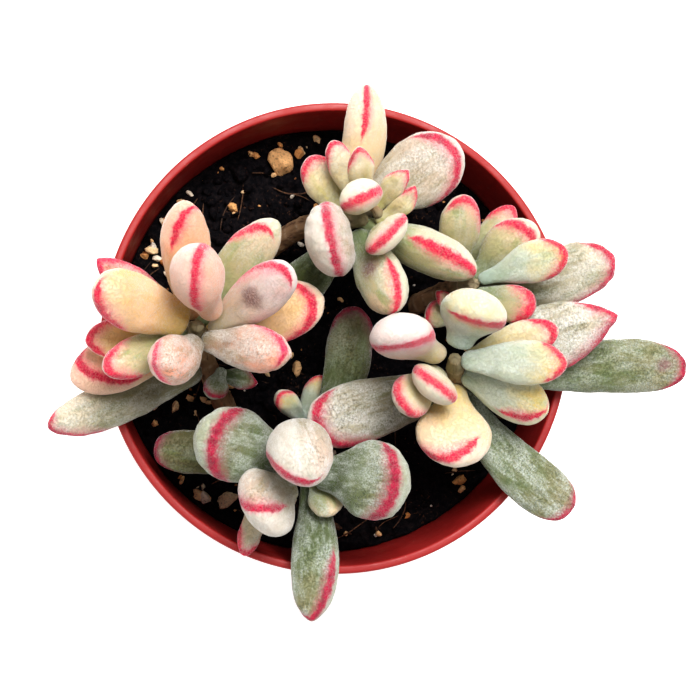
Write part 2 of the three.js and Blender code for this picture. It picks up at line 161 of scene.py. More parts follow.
@dataclass(frozen=True)
class Mottle:
    """A blotchy pattern of a real size: as its noise goes from low to high, it shows from least to most."""

    size_mm: float
    low: float
    high: float
    least: float = 0.0
    most: float = 1.0
    octaves: float = 3.0
    fineness: float = 0.55  # how strong each finer octave is

    def lay(self, tree: bpy.types.NodeTree, place: bpy.types.NodeSocket) -> tuple:
        """Put the pattern on a surface.

        Args:
            tree: the material's node tree.
            place: the position, in metres.

        Returns:
            The bare noise, 0 to 1, and how strongly the pattern shows, each as an output socket.
        """
        scale = {"Scale": 1 / (self.size_mm * MM), "Detail": self.octaves, "Roughness": self.fineness}
        bare = add_node(tree, "TexNoise", {"Vector": place, **scale}, "Fac")
        window = {0: bare, 1: self.low, 2: self.high, 3: self.least, 4: self.most}
        return bare, add_node(tree, "MapRange", window, interpolation_type="SMOOTHSTEP")

    def shown(self, tree: bpy.types.NodeTree, place: bpy.types.NodeSocket) -> bpy.types.NodeSocket:
        """Put the pattern on a surface, and give only how strongly it shows."""
        return self.lay(tree, place)[1]


# Finishes


@dataclass(frozen=True)
class MouldedPot:
    """Brick-red polypropylene, injection moulded: satin, with potting dust dried on it."""

    name: str = "moulded polypropylene, brick red"
    face: str = "9e2321"
    worn: str = "b3443f"
    dust: str = "b08f7d"
    roughness: float = 0.5
    ior: float = 1.49
    flow_mm: float = 14.0
    shine_mm: float = 5.0
    splash_mm: float = 9.0
    speck_mm: float = 1.1
    relief_mm: float = 0.06

    def build(self) -> bpy.types.Material:
        """Make the material."""
        material, tree, shader = new_material(self.name)
        place = add_node(tree, "TexCoord", {}, "Object")
        flow, worn = Mottle(self.flow_mm, 0.35, 0.75, 0, 0.18, octaves=2).lay(tree, place)
        # dried splashes of dust, thicker in some places than in others
        specks, dust = Mottle(self.speck_mm, 0.62, 0.72, 0, 0.55, octaves=4, fineness=0.7).lay(tree, place)
        splashes = Mottle(self.splash_mm, 0.45, 0.65, octaves=2).shown(tree, place)
        glossy, matt = self.roughness - 0.06, self.roughness + 0.12
        shine = Mottle(self.shine_mm, 0.3, 0.7, glossy, matt).shown(tree, place)
        colour = lay_over(tree, self.face, (worn, self.worn), (dust, splashes, self.dust))
        height = add_node(tree, "Math", {0: specks, 1: flow}, operation="ADD")
        depth = {"Distance": self.relief_mm * MM, "Strength": 0.5}
        relief = add_node(tree, "Bump", {"Height": height, **depth})
        feed(shader, {"Base Color": colour, "Roughness": shine, "IOR": self.ior, "Normal": relief})
        return material


@dataclass(frozen=True)
class PottingMix:
    """Damp black peat and bark dust: nearly black, with brown crumbs and a faint wet glint."""

    name: str = "damp peat potting mix"
    deep: str = "050408"
    crumb: str = "1a1416"
    brown: str = "4a3226"
    roughness: float = 0.75
    crumb_mm: float = 1.2
    fleck_mm: float = 0.7
    drift_mm: float = 7.0
    relief_mm: float = 0.6

    def build(self) -> bpy.types.Material:
        """Make the material."""
        material, tree, shader = new_material(self.name)
        place = add_node(tree, "TexCoord", {}, "Object")
        fine, crumbs = Mottle(self.crumb_mm, 0.42, 0.66, octaves=4, fineness=0.65).lay(tree, place)
        # brown flecks lie in drifts
        flecks = Mottle(self.fleck_mm, 0.6, 0.72, octaves=2).shown(tree, place)
        drifts = Mottle(self.drift_mm, 0.45, 0.62, octaves=2).shown(tree, place)
        colour = lay_over(tree, self.deep, (crumbs, self.crumb), (flecks, drifts, self.brown))
        relief = add_node(tree, "Bump", {"Height": fine, "Distance": self.relief_mm * MM})
        feed(shader, {"Base Color": colour, "Roughness": self.roughness, "Normal": relief})
        # loose peat has little gloss of its own
        shader.inputs["Specular IOR Level"].default_value = 0.1
        return material


@dataclass(frozen=True)
class Grit:
    """Crushed pumice and baked clay: chalky tan, ochre and off-white grains, with painted shade in their
    pores.
    """

    name: str = "tan pumice grit"
    tones: tuple[str, ...] = ("7a4a28", "b9783f", "dda468", "ecca9c", "ead9c0", "ddd6cc")
    pore_shade: str = "4a3527"
    roughness: float = 0.9
    pore_mm: float = 0.5
    relief_mm: float = 0.25

    def build(self) -> bpy.types.Material:
        """Make the material."""
        material, tree, shader = new_material(self.name)
        place = add_node(tree, "TexCoord", {}, "Object")
        tint = add_node(tree, "Attribute", {}, "Fac", attribute_name="tint")
        stops = tuple((i / (len(self.tones) - 1), tone) for i, tone in enumerate(self.tones))
        tone = add_node(tree, "ValToRGB", {"Fac": tint}, ramp=stops)
        # the pores are painted shade: a dark colour laid where the relief dips
        fine, pores = Mottle(self.pore_mm, 0.5, 0.3, 0, 0.6, fineness=0.6).lay(tree, place)
        relief = add_node(tree, "Bump", {"Height": fine, "Distance": self.relief_mm * MM})
        colour = lay_over(tree, tone, (pores, self.pore_shade))
        feed(shader, {"Base Color": colour, "Roughness": self.roughness, "Normal": relief})
        return material


@dataclass(frozen=True)
class Bark:
    """Bark chips and dry fibres: brown and matt, lighter where they are split."""

    name: str = "composted pine bark"
    dark: str = "2a1a12"
    light: str = "7a5438"
    roughness: float = 0.85
    fibre_mm: float = 0.5
    relief_mm: float = 0.25

    def build(self) -> bpy.types.Material:
        """Make the material."""
        material, tree, shader = new_material(self.name)
        place = add_node(tree, "TexCoord", {}, "Object")
        tint = add_node(tree, "Attribute", {}, "Fac", attribute_name="tint")
        fine, split = Mottle(self.fibre_mm, 0.3, 0.7, fineness=0.6).lay(tree, place)
        relief = add_node(tree, "Bump", {"Height": fine, "Distance": self.relief_mm * MM})
        colour = lay_over(tree, self.dark, (split, tint, self.light))
        feed(shader, {"Base Color": colour, "Roughness": self.roughness, "Normal": relief})
        return material


@dataclass(frozen=True)
class CorkyStem:
    """Old succulent stem: grey-brown cork over green, cracked, with painted shade in its cracks, ringed with
    pale leaf scars.
    """

    name: str = "corky succulent stem"
    green: str = "8a8064"
    cork: str = "9c7c5c"
    crack_shade: str = "5a402c"
    scar: str = "bda68a"
    roughness: float = 0.8
    crack_mm: float = 1.3
    relief_mm: float = 0.45

    def build(self) -> bpy.types.Material:
        """Make the material."""
        material, tree, shader = new_material(self.name)
        add = partial(add_node, tree)
        along, ring = (add("Attribute", {}, "Fac", attribute_name=name) for name in ("along", "scar"))
        bark = add("Attribute", {}, "Vector", attribute_name="bark")
        # the cracks are painted shade: a dark colour laid where the relief dips
        fine, shaded_cracks = Mottle(self.crack_mm, 0.48, 0.32, octaves=5, fineness=0.68).lay(tree, bark)
        ridges = add("MapRange", {0: fine, 1: 0.4, 2: 0.65}, interpolation_type="SMOOTHSTEP")
        # the young top is greener than the old foot
        young = add("MapRange", {0: along, 1: 0.55, 2: 0.95}, interpolation_type="SMOOTHSTEP")
        layers = (young, self.green), (shaded_cracks, self.crack_shade), (ring, ridges, self.scar)
        relief = add("Bump", {"Height": fine, "Distance": self.relief_mm * MM})
        colour = lay_over(tree, self.cork, *layers)
        feed(shader, {"Base Color": colour, "Roughness": self.roughness, "Normal": relief})
        return material


@dataclass(frozen=True)
class LeafSkin:
    """Waxy succulent skin, variegated: its colour runs from root to tip, under streaks and bloom.

    The pink margin follows the leaf's own "margin" attribute, which is its distance from the red
    line in line widths, and the skin beyond the line pales to a crescent. Real wax bloom is finer
    than the render can show, so its dust is drawn 0.4 mm coarse.
    """

    name: str
    root: str
    middle: str
    tip: str
    crescent: str
    streak: str  # colour of the lengthwise variegation
    streaks: float
    bloom: str  # chalky wax that rubs off in patches
    blooms: float
    blotch: str = "8f8f72"  # small dull spots
    blotches: float = 0.15
    line: str = "da0f45"
    line_deep: str = "ab0838"
    blush: str = "ea5f80"
    roughness: float = 0.46

    BRUISE = "84635f"
    IOR = 1.4
    DEEP_MM = 1.5  # how far light spreads under the skin
    PORE_MM = 0.9
    RELIEF_MM = 0.1

    def build(self) -> bpy.types.Material:
        """Make the material."""
        material, tree, shader = new_material(f"succulent leaf skin, {self.name}")
        add = partial(add_node, tree)
        names = ("along", "margin", "line", "bloom", "bruise")
        own = [add("Attribute", {}, "Fac", attribute_name=name) for name in names]
        along, margin, here, age, bruise = own
        flat = add("Attribute", {}, "Vector", attribute_name="flat")
        # streaks and rubbed wax run along the leaf, so their noise is drawn out that way
        drawn = add("Mapping", {"Vector": flat, "Scale": (1.0, 0.3, 0.7)})
        shift = Mottle(6.0, 0.2, 0.8, -0.14, 0.14, octaves=2).shown(tree, flat)
        stops = (0.04, self.root), (0.5, self.middle), (0.92, self.tip)
        ground = add("ValToRGB", {"Fac": add("Math", {0: along, 1: shift}, operation="ADD")}, ramp=stops)
        streaks = Mottle(3.0, 0.46, 0.66, 0, self.streaks, octaves=4, fineness=0.6).shown(tree, drawn)
        # dull stipple in patches, then wax that has rubbed thin, both as fine as dust
        stipple = Mottle(0.55, 0.47, 0.62, octaves=5, fineness=0.78).shown(tree, flat)
        patches = Mottle(5.0, 0.38, 0.64, 0, self.blotches, octaves=4, fineness=0.6).shown(tree, flat)
        dust = Mottle(0.4, 0.36, 0.62, 0.15, octaves=5, fineness=0.8).shown(tree, flat)
        thin = 0.05 * self.blooms
        rubbed = Mottle(3.6, 0.4, 0.6, thin, self.blooms, octaves=6, fineness=0.72).shown(tree, drawn)
        dusted = add("Math", {0: dust, 1: rubbed}, operation="MULTIPLY")
        wax = add("Math", {0: dusted, 1: age}, operation="MULTIPLY")
        # a bruise, where the leaf has one, is a dull stain with a speckled edge
        stained = Mottle(0.5, 0.3, 0.6, 0.4, octaves=4, fineness=0.7).shown(tree, flat)
        # the line's edge wanders, and the line narrows to its ends
        wobble = Mottle(1.6, 0.25, 0.75, -0.3, 0.3, octaves=4, fineness=0.6).shown(tree, flat)
        narrow = add("Math", {0: here, 1: 0.28}, operation="MAXIMUM")
        wandering = add("Math", {0: margin, 1: wobble}, operation="ADD")
        edge = add("Math", {0: wandering, 1: narrow}, operation="DIVIDE")
        speckle = Mottle(0.35, 0.36, 0.62, 0.25, octaves=4, fineness=0.75).shown(tree, flat)
        red = lay_over(tree, self.line, (Mottle(2.2, 0.4, 0.65, 0, 0.6).shown(tree, flat), self.line_deep))
        windows = {
            "beyond": (margin, 0.3, -0.8, 0, 1),
            "pale": (here, 0, 0.6, 0, 0.5),
            "shown": (here, 0.02, 0.4, 0, 1),
            "blush_in": (edge, 3.4, 0.5, 0, 1),
            "blush_out": (edge, -1.9, -0.6, 0, 1),
            "core_in": (edge, 1.5, 0.3, 0, 1),
            "core_out": (edge, -1.2, -0.5, 0, 1),
            "dense": (speckle, 0.25, 1, 0.72, 1),
            "shine": (wax, 0, 0.6, self.roughness, self.roughness + 0.2),
        }
        at = {
            name: add("MapRange", dict(enumerate(window)), interpolation_type="SMOOTHSTEP")
            for name, window in windows.items()
        }
        colour = lay_over(
            tree, ground,
            (streaks, self.streak),
            (stipple, patches, age, self.blotch),
            (wax, self.bloom),
            (bruise, stained, self.BRUISE),
            (at["beyond"], at["pale"], self.crescent),
            # the blush fades off in a speckle, more on the inner side, and the line itself is denser
            (at["blush_in"], at["blush_out"], speckle, at["shown"], 0.75, self.blush),
            (at["core_in"], at["core_out"], at["dense"], at["shown"], red),
        )
        pores = {"Vector": flat, "Scale": 1 / (self.PORE_MM * MM), "Detail": 5, "Roughness": 0.65}
        fine = add("TexNoise", pores, "Fac")
        height = add("Math", {0: fine, 1: stipple}, operation="ADD")
        relief = add("Bump", {"Height": height, "Distance": self.RELIEF_MM * MM, "Strength": 0.8})
        feed(shader, {"Base Color": colour, "Roughness": at["shine"], "IOR": self.IOR, "Normal": relief})
        # wax bloom scatters a pale rim, and the flesh glows a little
        feed(shader, {"Sheen Weight": 0.75, "Sheen Roughness": 0.2, "Subsurface Weight": 0.12})
        feed(shader, {"Subsurface Radius": (1.0, 0.6, 0.4), "Subsurface Scale": self.DEEP_MM * MM})
        return material


class Skin(Enum):
    """The leaf skins on this plant, from the sunlit salmon heads to the old grey-green leaves."""

    SALMON = LeafSkin("salmon", "c9a468", "e2b283", "e8b294", "eecdb8", "e7967a", 0.4, "ecd8cc", 0.35)
    PEACH = LeafSkin("peach", "d9a57c", "e5ad90", "ecbaa2", "f1d4c6", "e8977c", 0.3, "eed9d2", 0.3)
    HONEY = LeafSkin("honey", "c9ac62", "e4b886", "ebc6a2", "f1decb", "dcb062", 0.4, "f0e0cc", 0.2)
    BLUSH = LeafSkin("pale blush", "d6c48e", "e6cdb8", "e8cdc8", "efe2d8", "e3a898", 0.4, "e6dedc", 0.4)
    CREAM = LeafSkin("butter cream", "dcc27c", "e9cc9c", "eccfb4", "f2dfc8", "e0b878", 0.35, "ece4dc", 0.3)
    IVORY = LeafSkin("ivory", "b9b272", "dcc896", "e3d2b4", "ece6d2", "c9c07a", 0.5, "e4e4dc", 0.45)
    SAGE = LeafSkin("sage cream", "76845a", "b3ab7e", "d9bf9b", "e4e2cc", "8f9a5e", 0.75, "d5dad2", 0.4)
    MINT = LeafSkin("mint", "a4b5a4", "c8cdb4", "e6c874", "ecead6", "a3b596", 0.5, "dde4e2", 0.5)
    PEARL = LeafSkin(
        "pearl, mottled", "8c8363", "b8aa94", "c9b19e", "e2ddd0", "8c8058", 0.6, "e2e2de", 0.95,
        "6a6040", 0.8, "c40f42", "8e0a34", "d87a8c", 0.5,
    )
    RUSSET = LeafSkin(
        "russet, mottled", "8a7c66", "c3967e", "e39c80", "eecdbc", "8f8562", 0.5, "e4e0d8", 0.75,
        "6a5a42", 0.7, "dc2c58", roughness=0.5,
    )
    ASH = LeafSkin(
        "ash, bloomed", "69674c", "9c947a", "cdc0a6", "dfdccb", "74784e", 0.6, "dfded8", 0.9,
        "55523a", 0.8, "c40f42", "8e0a34", "c86a80", 0.5,
    )
    GREY_GREEN = LeafSkin(
        "grey-green, bloomed", "4a5533", "68734c", "847d58", "bcc3ae", "526030", 0.6, "d2d8d0", 0.7,
        "344022", 0.85, "b40f40", "760c2e", "b0506a", 0.5,
    )
    OLIVE = LeafSkin(
        "old green", "3f4a2c", "59623c", "75694a", "a5a98a", "66723a", 0.6, "a3ab94", 0.6,
        "363e24", 0.7, "a01f42", "6c1530", "94566a", 0.5,
    )

    @property
    def slot(self) -> str:
        """Name the record's slot that this skin belongs to."""
        if self in (Skin.SALMON, Skin.PEACH, Skin.HONEY):
            return "leaf_salmon"
        if self in (Skin.SAGE, Skin.GREY_GREEN, Skin.OLIVE):
            return "leaf_green"
        return "leaf_mint" if self is Skin.MINT else "leaf_cream"


# Lines and sections


class Centreline:
    """The smooth line that a stem or twig follows, walked by its length."""

    STEPS = 60  # between two given points

    def __init__(self, points: tuple[tuple[float, float, float], ...]) -> None:
        """Run a centripetal curve through the points.

        Args:
            points: the points in mm.
        """
        given = [np.array(p, float) for p in points]
        given = [2 * given[0] - given[1], *given, 2 * given[-1] - given[-2]]
        walked = []
        for a, b, c, d in zip(given, given[1:], given[2:], given[3:]):
            walked.extend(self._piece(a, b, c, d, t) for t in np.linspace(0, 1, self.STEPS, endpoint=False))
        walked.append(given[-2])
        self.points = np.array(walked)
        steps = np.linalg.norm(np.diff(self.points, axis=0), axis=1)
        self.lengths = np.concatenate([[0.0], np.cumsum(steps)])
        self.length = float(self.lengths[-1])

    @staticmethod
    def _piece(a: np.ndarray, b: np.ndarray, c: np.ndarray, d: np.ndarray, t: float) -> np.ndarray:
        """Find one point between b and c, at a share t.

        Args:
            a: the point before b.
            b: the point that the piece leaves.
            c: the point that it reaches.
            d: the point after c.
            t: the share of the way from b to c.

        Returns:
            The point in mm.
        """
        ab, bc, cd = (max(float(np.linalg.norm(q - p)) ** 0.5, 1e-6) for p, q in ((a, b), (b, c), (c, d)))
        leave = ((b - a) / ab - (c - a) / (ab + bc) + (c - b) / bc) * bc
        arrive = ((c - b) / bc - (d - b) / (bc + cd) + (d - c) / cd) * bc
        cubic = 2 * b - 2 * c + leave + arrive
        square = -3 * b + 3 * c - 2 * leave - arrive
        return b + leave * t + square * t * t + cubic * t**3

    def at(self, share: float) -> np.ndarray:
        """Give the point at a share of the length.

        Args:
            share: the share, 0 to 1.

        Returns:
            The point in mm.
        """
        return np.array([np.interp(share * self.length, self.lengths, self.points[:, k]) for k in range(3)])

    def heading(self, share: float) -> np.ndarray:
        """Give the unit direction at a share of the length."""
        step = self.at(min(1.0, share + 0.005)) - self.at(max(0.0, share - 0.005))
        return step / np.linalg.norm(step)


def smooth(value: np.ndarray | float, low: float, high: float) -> np.ndarray | float:
    """Rise smoothly from 0 at low to 1 at high.

    Args:
        value: what is looked up, one value or many.
        low: where the rise starts.
        high: where it ends.

    Returns:
        The height of the rise, in the form of the value.
    """
    share = np.clip((value - low) / (high - low), 0, 1)
    return share * share * (3 - 2 * share)


def turned(vector: np.ndarray, axis: np.ndarray, angle: float) -> np.ndarray:
    """Turn a vector about a unit axis by an angle in radians.

    Args:
        vector: the vector.
        axis: the unit axis.
        angle: the angle.

    Returns:
        The turned vector.
    """
    kept = axis * axis.dot(vector) * (1 - math.cos(angle))
    return vector * math.cos(angle) + np.cross(axis, vector) * math.sin(angle) + kept


def lumps(points: np.ndarray, size_mm: float, seed: float) -> np.ndarray:
    """Give smooth noise at each point, -1 to 1, with lumps of a real size.

    Args:
        points: positions in mm.
        size_mm: how far apart the lumps stand.
        seed: shifts the noise, so that two pieces differ.

    Returns:
        One value for each point.
    """
    shift = Vector((seed * 7.31, seed * 3.77, seed * 5.13))
    return np.array([noise.noise(Vector(p) / size_mm + shift) for p in points])


# Mesh helpers


def pick(*pieces: bpy.types.Object) -> None:
    """Select only these pieces, since operators act on all that is selected, and make the first active."""
    bpy.ops.object.select_all(action="DESELECT")
    for piece in pieces:
        piece.select_set(True)
    if pieces:
        bpy.context.view_layer.objects.active = pieces[0]


def take_new(name: str) -> bpy.types.Object:
    """Name the object that the last operator added.

    Args:
        name: its name, and its mesh's.

    Returns:
        The object.
    """
    piece = bpy.context.object
    piece.name = name
    piece.data.name = name
    return piece


def settle(piece: bpy.types.Object) -> None:
    """Put the object's place into its mesh."""
    pick(piece)
    bpy.ops.object.transform_apply(location=True, rotation=True, scale=True)


def join(pieces: list[bpy.types.Object], name: str) -> bpy.types.Object:
    """Make one piece of several, under a new name.

    Args:
        pieces: the pieces, which end as one.
        name: the new name.

    Returns:
        The joined piece.
    """
    pick(*pieces)
    bpy.ops.object.join()
    return take_new(name)


def copy_of(blank: bpy.types.Object, name: str) -> bpy.types.Object:
    """Copy a blank with a mesh of its own.

    Args:
        blank: the object to copy.
        name: the copy's name.

    Returns:
        The copy.
    """
    piece = blank.copy()
    piece.data = blank.data.copy()
    piece.name = piece.data.name = name
    bpy.context.scene.collection.objects.link(piece)
    return piece


def co_of(piece: bpy.types.Object) -> np.ndarray:
    """Give the mesh's points.

    Args:
        piece: the object.

    Returns:
        One row for each point.
    """
    points = np.zeros(3 * len(piece.data.vertices))
    piece.data.vertices.foreach_get("co", points)
    return points.reshape(-1, 3)


def set_co(piece: bpy.types.Object, points: np.ndarray) -> None:
    """Move the mesh's points."""
    piece.data.vertices.foreach_set("co", np.ascontiguousarray(points, float).ravel())
    piece.data.update()


def normals_of(piece: bpy.types.Object) -> np.ndarray:
    """Give the mesh's point normals.

    Args:
        piece: the object.

    Returns:
        One row for each point.
    """
    normals = np.zeros(3 * len(piece.data.vertices))
    piece.data.vertices.foreach_get("normal", normals)
    return normals.reshape(-1, 3)


def note(piece: bpy.types.Object, name: str, values: np.ndarray) -> None:
    """Keep one value or vector per point as an attribute that a material reads.

    Args:
        piece: the object.
        name: the attribute's name.
        values: a value or a row for each point.
    """
    values = np.asarray(values, float)
    kind, key = ("FLOAT_VECTOR", "vector") if values.ndim == 2 else ("FLOAT", "value")
    piece.data.attributes.new(name, kind, "POINT").data.foreach_set(key, values.ravel())


def dress(piece: bpy.types.Object, material: bpy.types.Material, node: str) -> None:
    """Give a finished piece its material and its place in the frame, and hide the CAD node that it replaces.

    Args:
        piece: the finished piece.
        material: its material.
        node: the CAD node that it replaces.
    """
    piece.data.materials.clear()
    piece.data.materials.append(material)
    piece.data.shade_smooth()
    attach(piece, "root")
    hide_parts(node)
    LOG.info("%s: %d faces", piece.name, len(piece.data.polygons))


# The leaves


@dataclass(frozen=True)
class Leaf:
    """One fat leaf, shaped as its solid is, and what its pink margin does.

    Lengths are in mm and angles in degrees. line holds the shares of the length where the red line
    starts on the left and on the right, looking from root to tip; lift is how far the line climbs
    onto the upper face near the tip, and tilt turns it about the leaf's own length.
    """

    azimuth: float
    rise: float
    length: float
    width: float
    thick: float
    drop: float
    root: float | None = None
    sweep: float = 0.0
    curl: float = 12.0
    roll: float = 0.0
    neck: float = 0.4
    waist: float = 0.4
    fullest: float = 0.56
    point: float = 0.25
    skin: Skin = Skin.IVORY
    line: tuple[float, float] = (0.55, 0.55)
    lift: float = 0.6
    tilt: float = 0.0
    line_mm: float = 1.05
    bloom: float = 1.0
    wrinkle: float = 0.25
    bruise: tuple[float, float, float] | None = None  # share of the length, mm to the left, radius
    on_twig: bool = False

    FAT_ABOVE = 0.84  # the upper face is flatter than the lower
    FAT_BELOW = 1.16
    ROOT_THICKNESS = 0.45
    STEPS = 24  # of the middle line
    STEM_GAP = 0.35
    REACH = 1.3  # how far the root runs back, across that gap, to its stem
    NEARBY = 1.2
    ROUNDED = 0.06  # the share of the length over which the root rounds off

    def width_share(self, share: np.ndarray) -> np.ndarray:
        """Give the half width, 0 to 1, at each share of the length.

        Args:
            share: the shares, 0 at the root and 1 at the tip.

        Returns:
            The half widths.
        """
        share = np.asarray(share, float)
        low = np.clip(share / self.fullest, 0, 1)
        widening = np.sin(0.5 * np.pi * low) * (1 - self.waist) + low * low * (3 - 2 * low) * self.waist
        high = np.clip((share - self.fullest) / (1 - self.fullest), 0, 1)
        closing = (1 - high ** (2.8 - 1.3 * self.point)) ** (0.5 + 0.35 * self.point)
        return np.where(share < self.fullest, self.neck + (1 - self.neck) * widening, closing)

    @staticmethod
    def thickness_share(share: np.ndarray) -> np.ndarray:
        """Give the half thickness, 0 to 1, at each share of the length.

        Args:
            share: the shares, 0 at the root and 1 at the tip.

        Returns:
            The half thicknesses.
        """
        share = np.asarray(share, float)
        high = np.clip((share - 0.5) / 0.5, 0, 1)
        swelling = Leaf.ROOT_THICKNESS + (1 - Leaf.ROOT_THICKNESS) * smooth(share, 0, 0.5)
        return np.where(share < 0.5, swelling, (1 - high**2.6) ** 0.55)

    def axes(self, share: float) -> tuple[np.ndarray, np.ndarray, np.ndarray]:
        """Give the ways the leaf runs, spreads and faces at a share of its length.

        Args:
            share: the share, 0 at the root and 1 at the tip.

        Returns:
            Unit vectors along the leaf, to its left and out of its upper face.
        """
        turn = math.radians(self.azimuth + self.sweep * (share - 0.5))
        climb = math.radians(self.rise + self.curl * (share - 0.5))
        side = np.array([-math.sin(turn), math.cos(turn), 0.0])
        ahead = np.array([math.cos(turn), math.sin(turn), 0.0])
        along = ahead * math.cos(climb) + np.array([0.0, 0.0, math.sin(climb)])
        up = np.cross(along, side)
        roll = math.radians(self.roll)
        return along, turned(side, along, roll), turned(up, along, roll)

    def foot(self, line: Centreline, radius_at: Callable) -> np.ndarray:
        """Find where the leaf stands, clear of its stem.

        Args:
            line: the stem's or twig's line.
            radius_at: gives the stem's radius at a share of its length.

        Returns:
            The middle of the leaf's root, in mm.
        """
        share = 1 - self.drop / line.length
        centre = line.at(share)
        if self.on_twig:
            return centre
        start = math.radians(self.azimuth - self.sweep / 2 if self.root is None else self.root)
        outward = np.array([math.cos(start), math.sin(start), 0.0])
        heading = line.heading(share)
        square = outward - heading * outward.dot(heading)
        slant = float(np.linalg.norm(square))
        square /= slant
        _, side, up = self.axes(0)
        across = 0.5 * self.width * self.neck * side.dot(square)
        high = 0.5 * self.thick * self.FAT_BELOW * self.ROOT_THICKNESS * up.dot(square)
        return centre + outward * (radius_at(share) + self.STEM_GAP + math.hypot(across, high)) / slant

    def surface(self, spine: list, share: np.ndarray, turn: np.ndarray) -> tuple[np.ndarray, np.ndarray]:
        """Place points on the leaf's skin.

        Args:
            spine: the centre and axes at each step of the length.
            share: each point's share of the length.
            turn: each point's angle round the leaf, 0 on its left side and 90 degrees on top.

        Returns:
            The points in mm, and the same points in the leaf's own flat axes.
        """
        at = np.clip(share * self.STEPS, 0, self.STEPS - 1e-6)
        low = at.astype(int)
        part = (at - low)[:, None]
        centre, side, up = (axis[low] * (1 - part) + axis[low + 1] * part for axis in spine)
        across = 0.5 * self.width * self.width_share(share) * np.cos(turn)
        fat = np.where(np.sin(turn) > 0, self.FAT_ABOVE, self.FAT_BELOW)
        height = 0.5 * self.thick * self.thickness_share(share) * fat * np.sin(turn)
        flat = np.stack([across, share * self.length, height], 1)
        return centre + side * across[:, None] + up * height[:, None], flat

    def spine(self, foot: np.ndarray) -> list[np.ndarray]:
        """Walk the leaf's middle from root to tip.

        Args:
            foot: the middle of the root, in mm.

        Returns:
            The centres, the side axes and the upper axes, one row for each step.
        """
        centres, sides, ups = [], [], []
        centre = foot.copy()
        for i in range(self.STEPS + 1):
            along, side, up = self.axes(i / self.STEPS)
            centres.append(centre.copy())
            sides.append(side)
            ups.append(up)
            centre = centre + along * self.length / self.STEPS
        return [np.array(centres), np.array(sides), np.array(ups)]

    def above_line(self, share: np.ndarray, flat: np.ndarray) -> np.ndarray:
        """Give each point's height over the sheet that the red line lies in, in mm.

        Args:
            share: each point's share of the length.
            flat: the points in the leaf's flat axes.

        Returns:
            The heights.
        """
        climbs = self.lift * smooth(share, 0.45, 1.0)
        return flat[:, 2] - climbs - math.tan(math.radians(self.tilt)) * flat[:, 0]

    def margin(
        self, spine: list, share: np.ndarray, flat: np.ndarray, points: np.ndarray
    ) -> tuple[np.ndarray, np.ndarray]:
        """Measure how far each point lies from the red line, and how strong the line is there.

        Args:
            spine: the leaf's middle.
            share: each point's share of the length.
            flat: the points in the leaf's flat axes.
            points: the points in mm.

        Returns:
            The distance in line widths, positive on the upper face, and the strength, 0 to 1.
        """
        shares = np.sin(np.linspace(0, 0.5 * np.pi, 90))
        grid_share, grid_turn = np.meshgrid(shares, np.linspace(-np.pi, np.pi, 121), indexing="ij")
        where, level = self.surface(spine, grid_share.ravel(), grid_turn.ravel())
        height = self.above_line(grid_share.ravel(), level).reshape(grid_share.shape)
        where = where.reshape(*grid_share.shape, 3)
        side = level[:, 0].reshape(grid_share.shape)
        crossings, starts = [], []
        for axis in (0, 1):
            low = tuple(slice(None, -1) if k == axis else slice(None) for k in (0, 1))
            high = tuple(slice(1, None) if k == axis else slice(None) for k in (0, 1))
            crossed = (height[low] > 0) != (height[high] > 0)
            part = (height[low] / (height[low] - height[high] + 1e-12))[crossed][:, None]
            crossings.append(where[low][crossed] * (1 - part) + where[high][crossed] * part)
            left = side[low][crossed] > 0
            begin = np.where(left, self.line[0], self.line[1])
            starts.append(smooth(grid_share[low][crossed] - begin, -0.02, 0.16))
        line_points, strengths = np.concatenate(crossings), np.concatenate(starts)
        gaps = np.linalg.norm(points[:, None, :] - line_points[None, :, :], axis=2)
        least = gaps.min(1)
        # the strength is a mean over the nearby line, so that it changes without a seam
        pull = np.exp((least[:, None] - gaps) / self.NEARBY)
        signed = least * np.sign(self.above_line(share, flat))
        return signed / self.line_mm, (pull * strengths).sum(1) / pull.sum(1)

    def build(
        self, blank: bpy.types.Object, name: str, line: Centreline, radius_at: Callable, seed: int
    ) -> bpy.types.Object:
        """Shape a copy of the blank into this leaf.

        Args:
            blank: a ball with its poles at root and tip.
            name: the new piece's name.
            line: the line of the stem or twig that it grows on.
            radius_at: gives the stem's radius at a share of its length.
            seed: makes its lumps and spots its own.

        Returns:
            The leaf, with the attributes that its skin reads.
        """
        piece = copy_of(blank, name)
        ball = co_of(piece)
        polar = np.arccos(np.clip(-ball[:, 2], -1, 1))  # 0 at the root, pi at the tip
        turn = np.arctan2(ball[:, 1], ball[:, 0])
        low = np.clip(polar / (0.5 * np.pi), 0, 1)
        high = np.sin(np.clip(polar - 0.5 * np.pi, 0, 0.5 * np.pi))
        share = np.where(low < 1, self.fullest * low**1.25, self.fullest + (1 - self.fullest) * high)
        pole = np.hypot(ball[:, 0], ball[:, 1]) < 1e-5
        share[pole & (polar < 1)] = 0.0
        spine = self.spine(self.foot(line, radius_at))
        points, flat = self.surface(spine, share, turn)
        points[pole & (polar < 1)] = spine[0][0]
        points[pole & (polar > 1)] = spine[0][-1]
        # the root rounds off and reaches its stem
        along = self.axes(0)[0]
        centre = spine[0][0] + along * (share * self.length)[:, None]
        plump = np.sqrt(np.clip(1 - (1 - share / self.ROUNDED) ** 2, 0.1, 1))
        plump[share >= self.ROUNDED] = 1
        back = self.REACH * (1 - smooth(share, 0, 0.15))
        points = centre + (points - centre) * plump[:, None] - along * back[:, None]
        set_co(piece, points)
        normals = normals_of(piece)
        body = smooth(share, 0.03, 0.25)
